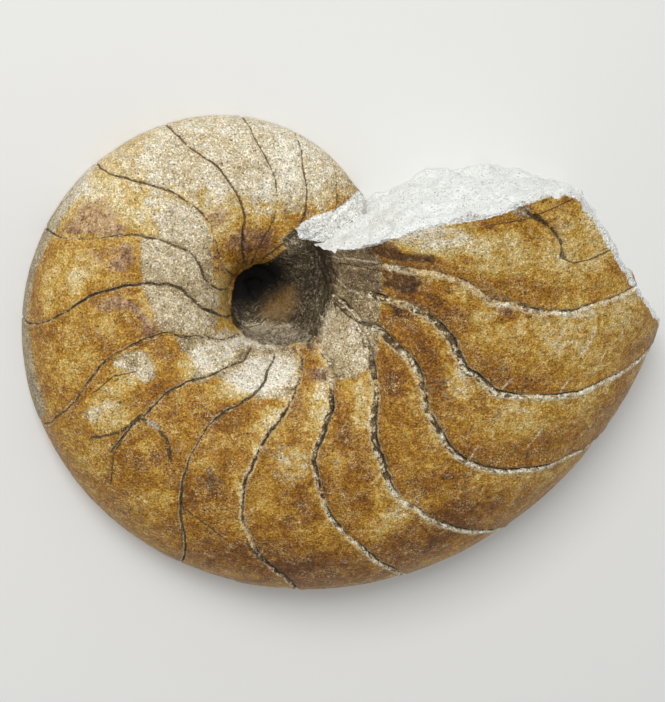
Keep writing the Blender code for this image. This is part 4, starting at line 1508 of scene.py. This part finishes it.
def sawn_section():
    """The polished saw cut: chambers filled with calcite, their septa and the body chamber's mudstone."""
    material, nodes, shader = new_material("polished saw cut")
    place = millimetres(nodes)
    slow = about_zero(nodes, nodes.noise(place, 0.12, 3.0, 0.55, 0.6))
    quick = about_zero(nodes, nodes.noise(place, 0.8, 4.0, 0.6))
    x, y, _ = nodes.separate(place)

    # where the place lies on the coil: its turns, and how far it is from the whorls' walls
    radius = plus(nodes, nodes.vector("LENGTH", nodes.combine(x, y, 0.0)), quick, 0.5)
    turn = nodes.math("FRACT", nodes.math("DIVIDE", nodes.math("ARCTAN2", y, x), 2.0 * pi))
    grown_turns = nodes.math("LOGARITHM", nodes.math("DIVIDE", radius, VENTER_RADIUS), GROWTH_PER_TURN)
    venter = nodes.math("ADD", grown_turns, REFERENCE_ANGLE / 360.0)
    total = nodes.math("ADD", turn, nodes.math("CEIL", nodes.math("SUBTRACT", venter, turn)))
    inward = nodes.math("SUBTRACT", total, venter)
    scale = times(nodes, radius, float(np.log(GROWTH_PER_TURN)))
    to_venter = times(nodes, inward, scale)
    to_previous = times(nodes, inverse(nodes, inward), scale)
    wall = nodes.math("MINIMUM", to_venter, to_previous)

    # which chamber it is in, and how far it is from a septum
    aside = nodes.math("MULTIPLY_ADD", inward, 2.0, -1.0)
    middle = inverse(nodes, nodes.math("POWER", aside, 2.0))
    first, last = SUTURES[0][0], SUTURES[-1][0]
    lead = SUTURES[0][2] + first
    along = plus(nodes, nodes.math("MULTIPLY_ADD", total, 360.0, -lead), middle, SEPTUM_DIP)
    curve = nodes.add("ShaderNodeFloatCurve")
    nodes.feed(curve.inputs["Value"], nodes.math("DIVIDE", along, last - first))
    curve.mapping.extend = "EXTRAPOLATED"
    points = curve.mapping.curves[0].points
    for i, suture in enumerate(SUTURES):
        spot = ((suture[0] - first) / (last - first), i / (len(SUTURES) - 1))
        point = points[0] if i == 0 else points[-1] if i == len(SUTURES) - 1 else points.new(*spot)
        point.location = spot
        point.handle_type = "VECTOR"
    curve.mapping.update()
    count = times(nodes, curve.outputs[0], len(SUTURES) - 1.0)
    number = nodes.math("ROUND", count)
    apart = times(nodes, nodes.math("ABSOLUTE", nodes.math("SUBTRACT", count, number)), 0.36)
    to_septum = times(nodes, apart, radius)
    past = nodes.math("GREATER_THAN", number, len(SUTURES) - 0.5)
    to_septum = plus(nodes, to_septum, past, PAST_LAST)
    to_edge = nodes.math("MINIMUM", wall, to_septum)
    body = nodes.math("GREATER_THAN", count, len(SUTURES) - 1.0)

    # the calcite, the lining, the mudstone, the septa and the tube
    chamber = nodes.math("FLOOR", count)
    kind = nodes.add("ShaderNodeTexWhiteNoise", noise_dimensions="1D")
    nodes.feed(kind.inputs["W"], nodes.math("ADD", chamber, 0.37))
    fill = plus(nodes, plus(nodes, times(nodes, kind.outputs["Value"], 0.8), slow, 0.9), quick, 0.35)
    grains = nodes.add("ShaderNodeTexVoronoi")
    nodes.feed(grains.inputs["Vector"], place)
    grains.inputs["Scale"].default_value = 0.55
    fill = plus(nodes, fill, nodes.separate(grains.outputs["Color"])[0], 0.16)
    colour = ramp(nodes, fill, CALCITE_STOPS)
    lining_edge = plus(nodes, to_edge, slow, 2.4)
    lining = inverse(nodes, step_between(nodes, lining_edge, 0.9, 1.3))
    colour = mix_colour(nodes, lining, colour, ramp(nodes, plus(nodes, 0.62, quick, 1.4), LINING_STOPS))
    mud = ramp(nodes, plus(nodes, plus(nodes, 0.5, slow, 0.7), quick, 0.9), SEDIMENT_STOPS)
    in_mud = nodes.math("MAXIMUM", body, nodes.math("LESS_THAN", radius, MUD_CORE))
    colour = mix_colour(nodes, in_mud, colour, mud)
    septum = inverse(nodes, step_between(nodes, to_edge, 0.26, 0.44))
    colour = mix_colour(nodes, times(nodes, septum, 0.92), colour, SEPTUM_COLOUR)
    off_tube = nodes.math("ABSOLUTE", times(nodes, nodes.math("SUBTRACT", inward, SIPHUNCLE), scale))
    off_wall = nodes.math("ABSOLUTE", nodes.math("SUBTRACT", off_tube, TUBE_RADIUS))
    tube = inverse(nodes, step_between(nodes, off_wall, 0.14, 0.3))
    tube = times(nodes, tube, inverse(nodes, body))
    colour = mix_colour(nodes, times(nodes, tube, 0.8), colour, TUBE_COLOUR)
    nodes.feed(shader.inputs["Base Color"], colour)
    nodes.feed(shader.inputs["Roughness"], nodes.math("MULTIPLY_ADD", body, 0.16, 0.20))
    shader.inputs["Specular IOR Level"].default_value = 0.5
    return material


# ---------------------------------------------------------------- camera, light and floor

CAMERA_PLACE = (-0.0576, 0.0694, 0.3619)
CAMERA_AIM = (0.01906, -0.01759, 0.0)
LENS = 79.54
FLOOR_SIZE = 3.0
FLOOR_DROP = 0.0002  # how far it lies under the sawn face
FLOOR_COLOUR = (0.8, 0.8, 0.78)
WINDOW_PLACE = (-0.28, 0.66, 0.93)
WINDOW_SIZE = 0.55
WINDOW_POWER = 9.4
WORLD_STRENGTH = 0.45
WHITE = (1.0, 1.0, 1.0, 1.0)
SHARP_ANGLE = 48.0  # edges that turn further than this are sharp


def add_camera():
    """Above the flank, with the object's Y upwards in the picture."""
    camera = new_object("camera", bpy.data.cameras.new("camera"))
    camera.data.lens = LENS
    back = (Vector(CAMERA_PLACE) - Vector(CAMERA_AIM)).normalized()
    up = (Vector((0.0, 1.0, 0.0)) - back * back.y).normalized()
    turn = Matrix((up.cross(back), up, back)).transposed()
    camera.matrix_world = Matrix.Translation(CAMERA_PLACE) @ turn.to_4x4()
    bpy.context.scene.camera = camera


def add_light(name, place, size, power):
    light = bpy.data.lights.new(name, "AREA")
    light.energy = power
    light.size = size
    obj = new_object(name, light)
    obj.location = place
    obj.rotation_euler = Vector(place).to_track_quat("Z", "Y").to_euler()


def plain(name, colour):
    material, _, shader = new_material(name)
    shader.inputs["Base Color"].default_value = (*colour, 1.0)
    shader.inputs["Roughness"].default_value = 0.6
    return material


stone_grain = grain_group()
ragged_mask = ragged_group()
fossil = build_fossil(weathered_stone(stone_grain, ragged_mask), fresh_break(stone_grain), sawn_section())
fossil.name = "fossil_nautilus_half"
mark_outside(fossil)
fossil.data.shade_smooth()
fossil.data.set_sharp_from_angle(angle=radians(SHARP_ANGLE))
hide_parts("nautilus_half")
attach(fossil, "root")

add_camera()
bpy.ops.mesh.primitive_plane_add(size=FLOOR_SIZE, location=(0.0, 0.0, -FLOOR_DROP))
floor = bpy.context.object
floor.name = "floor"
floor.data.materials.append(plain("floor", FLOOR_COLOUR))
add_light("window", WINDOW_PLACE, WINDOW_SIZE, WINDOW_POWER)
world = bpy.data.worlds.new("studio")
bpy.context.scene.world = world
world.use_nodes = True
backdrop = world.node_tree.nodes["Background"]
backdrop.inputs["Color"].default_value = WHITE
backdrop.inputs["Strength"].default_value = WORLD_STRENGTH
bpy.context.scene.view_settings.view_transform = "Standard"
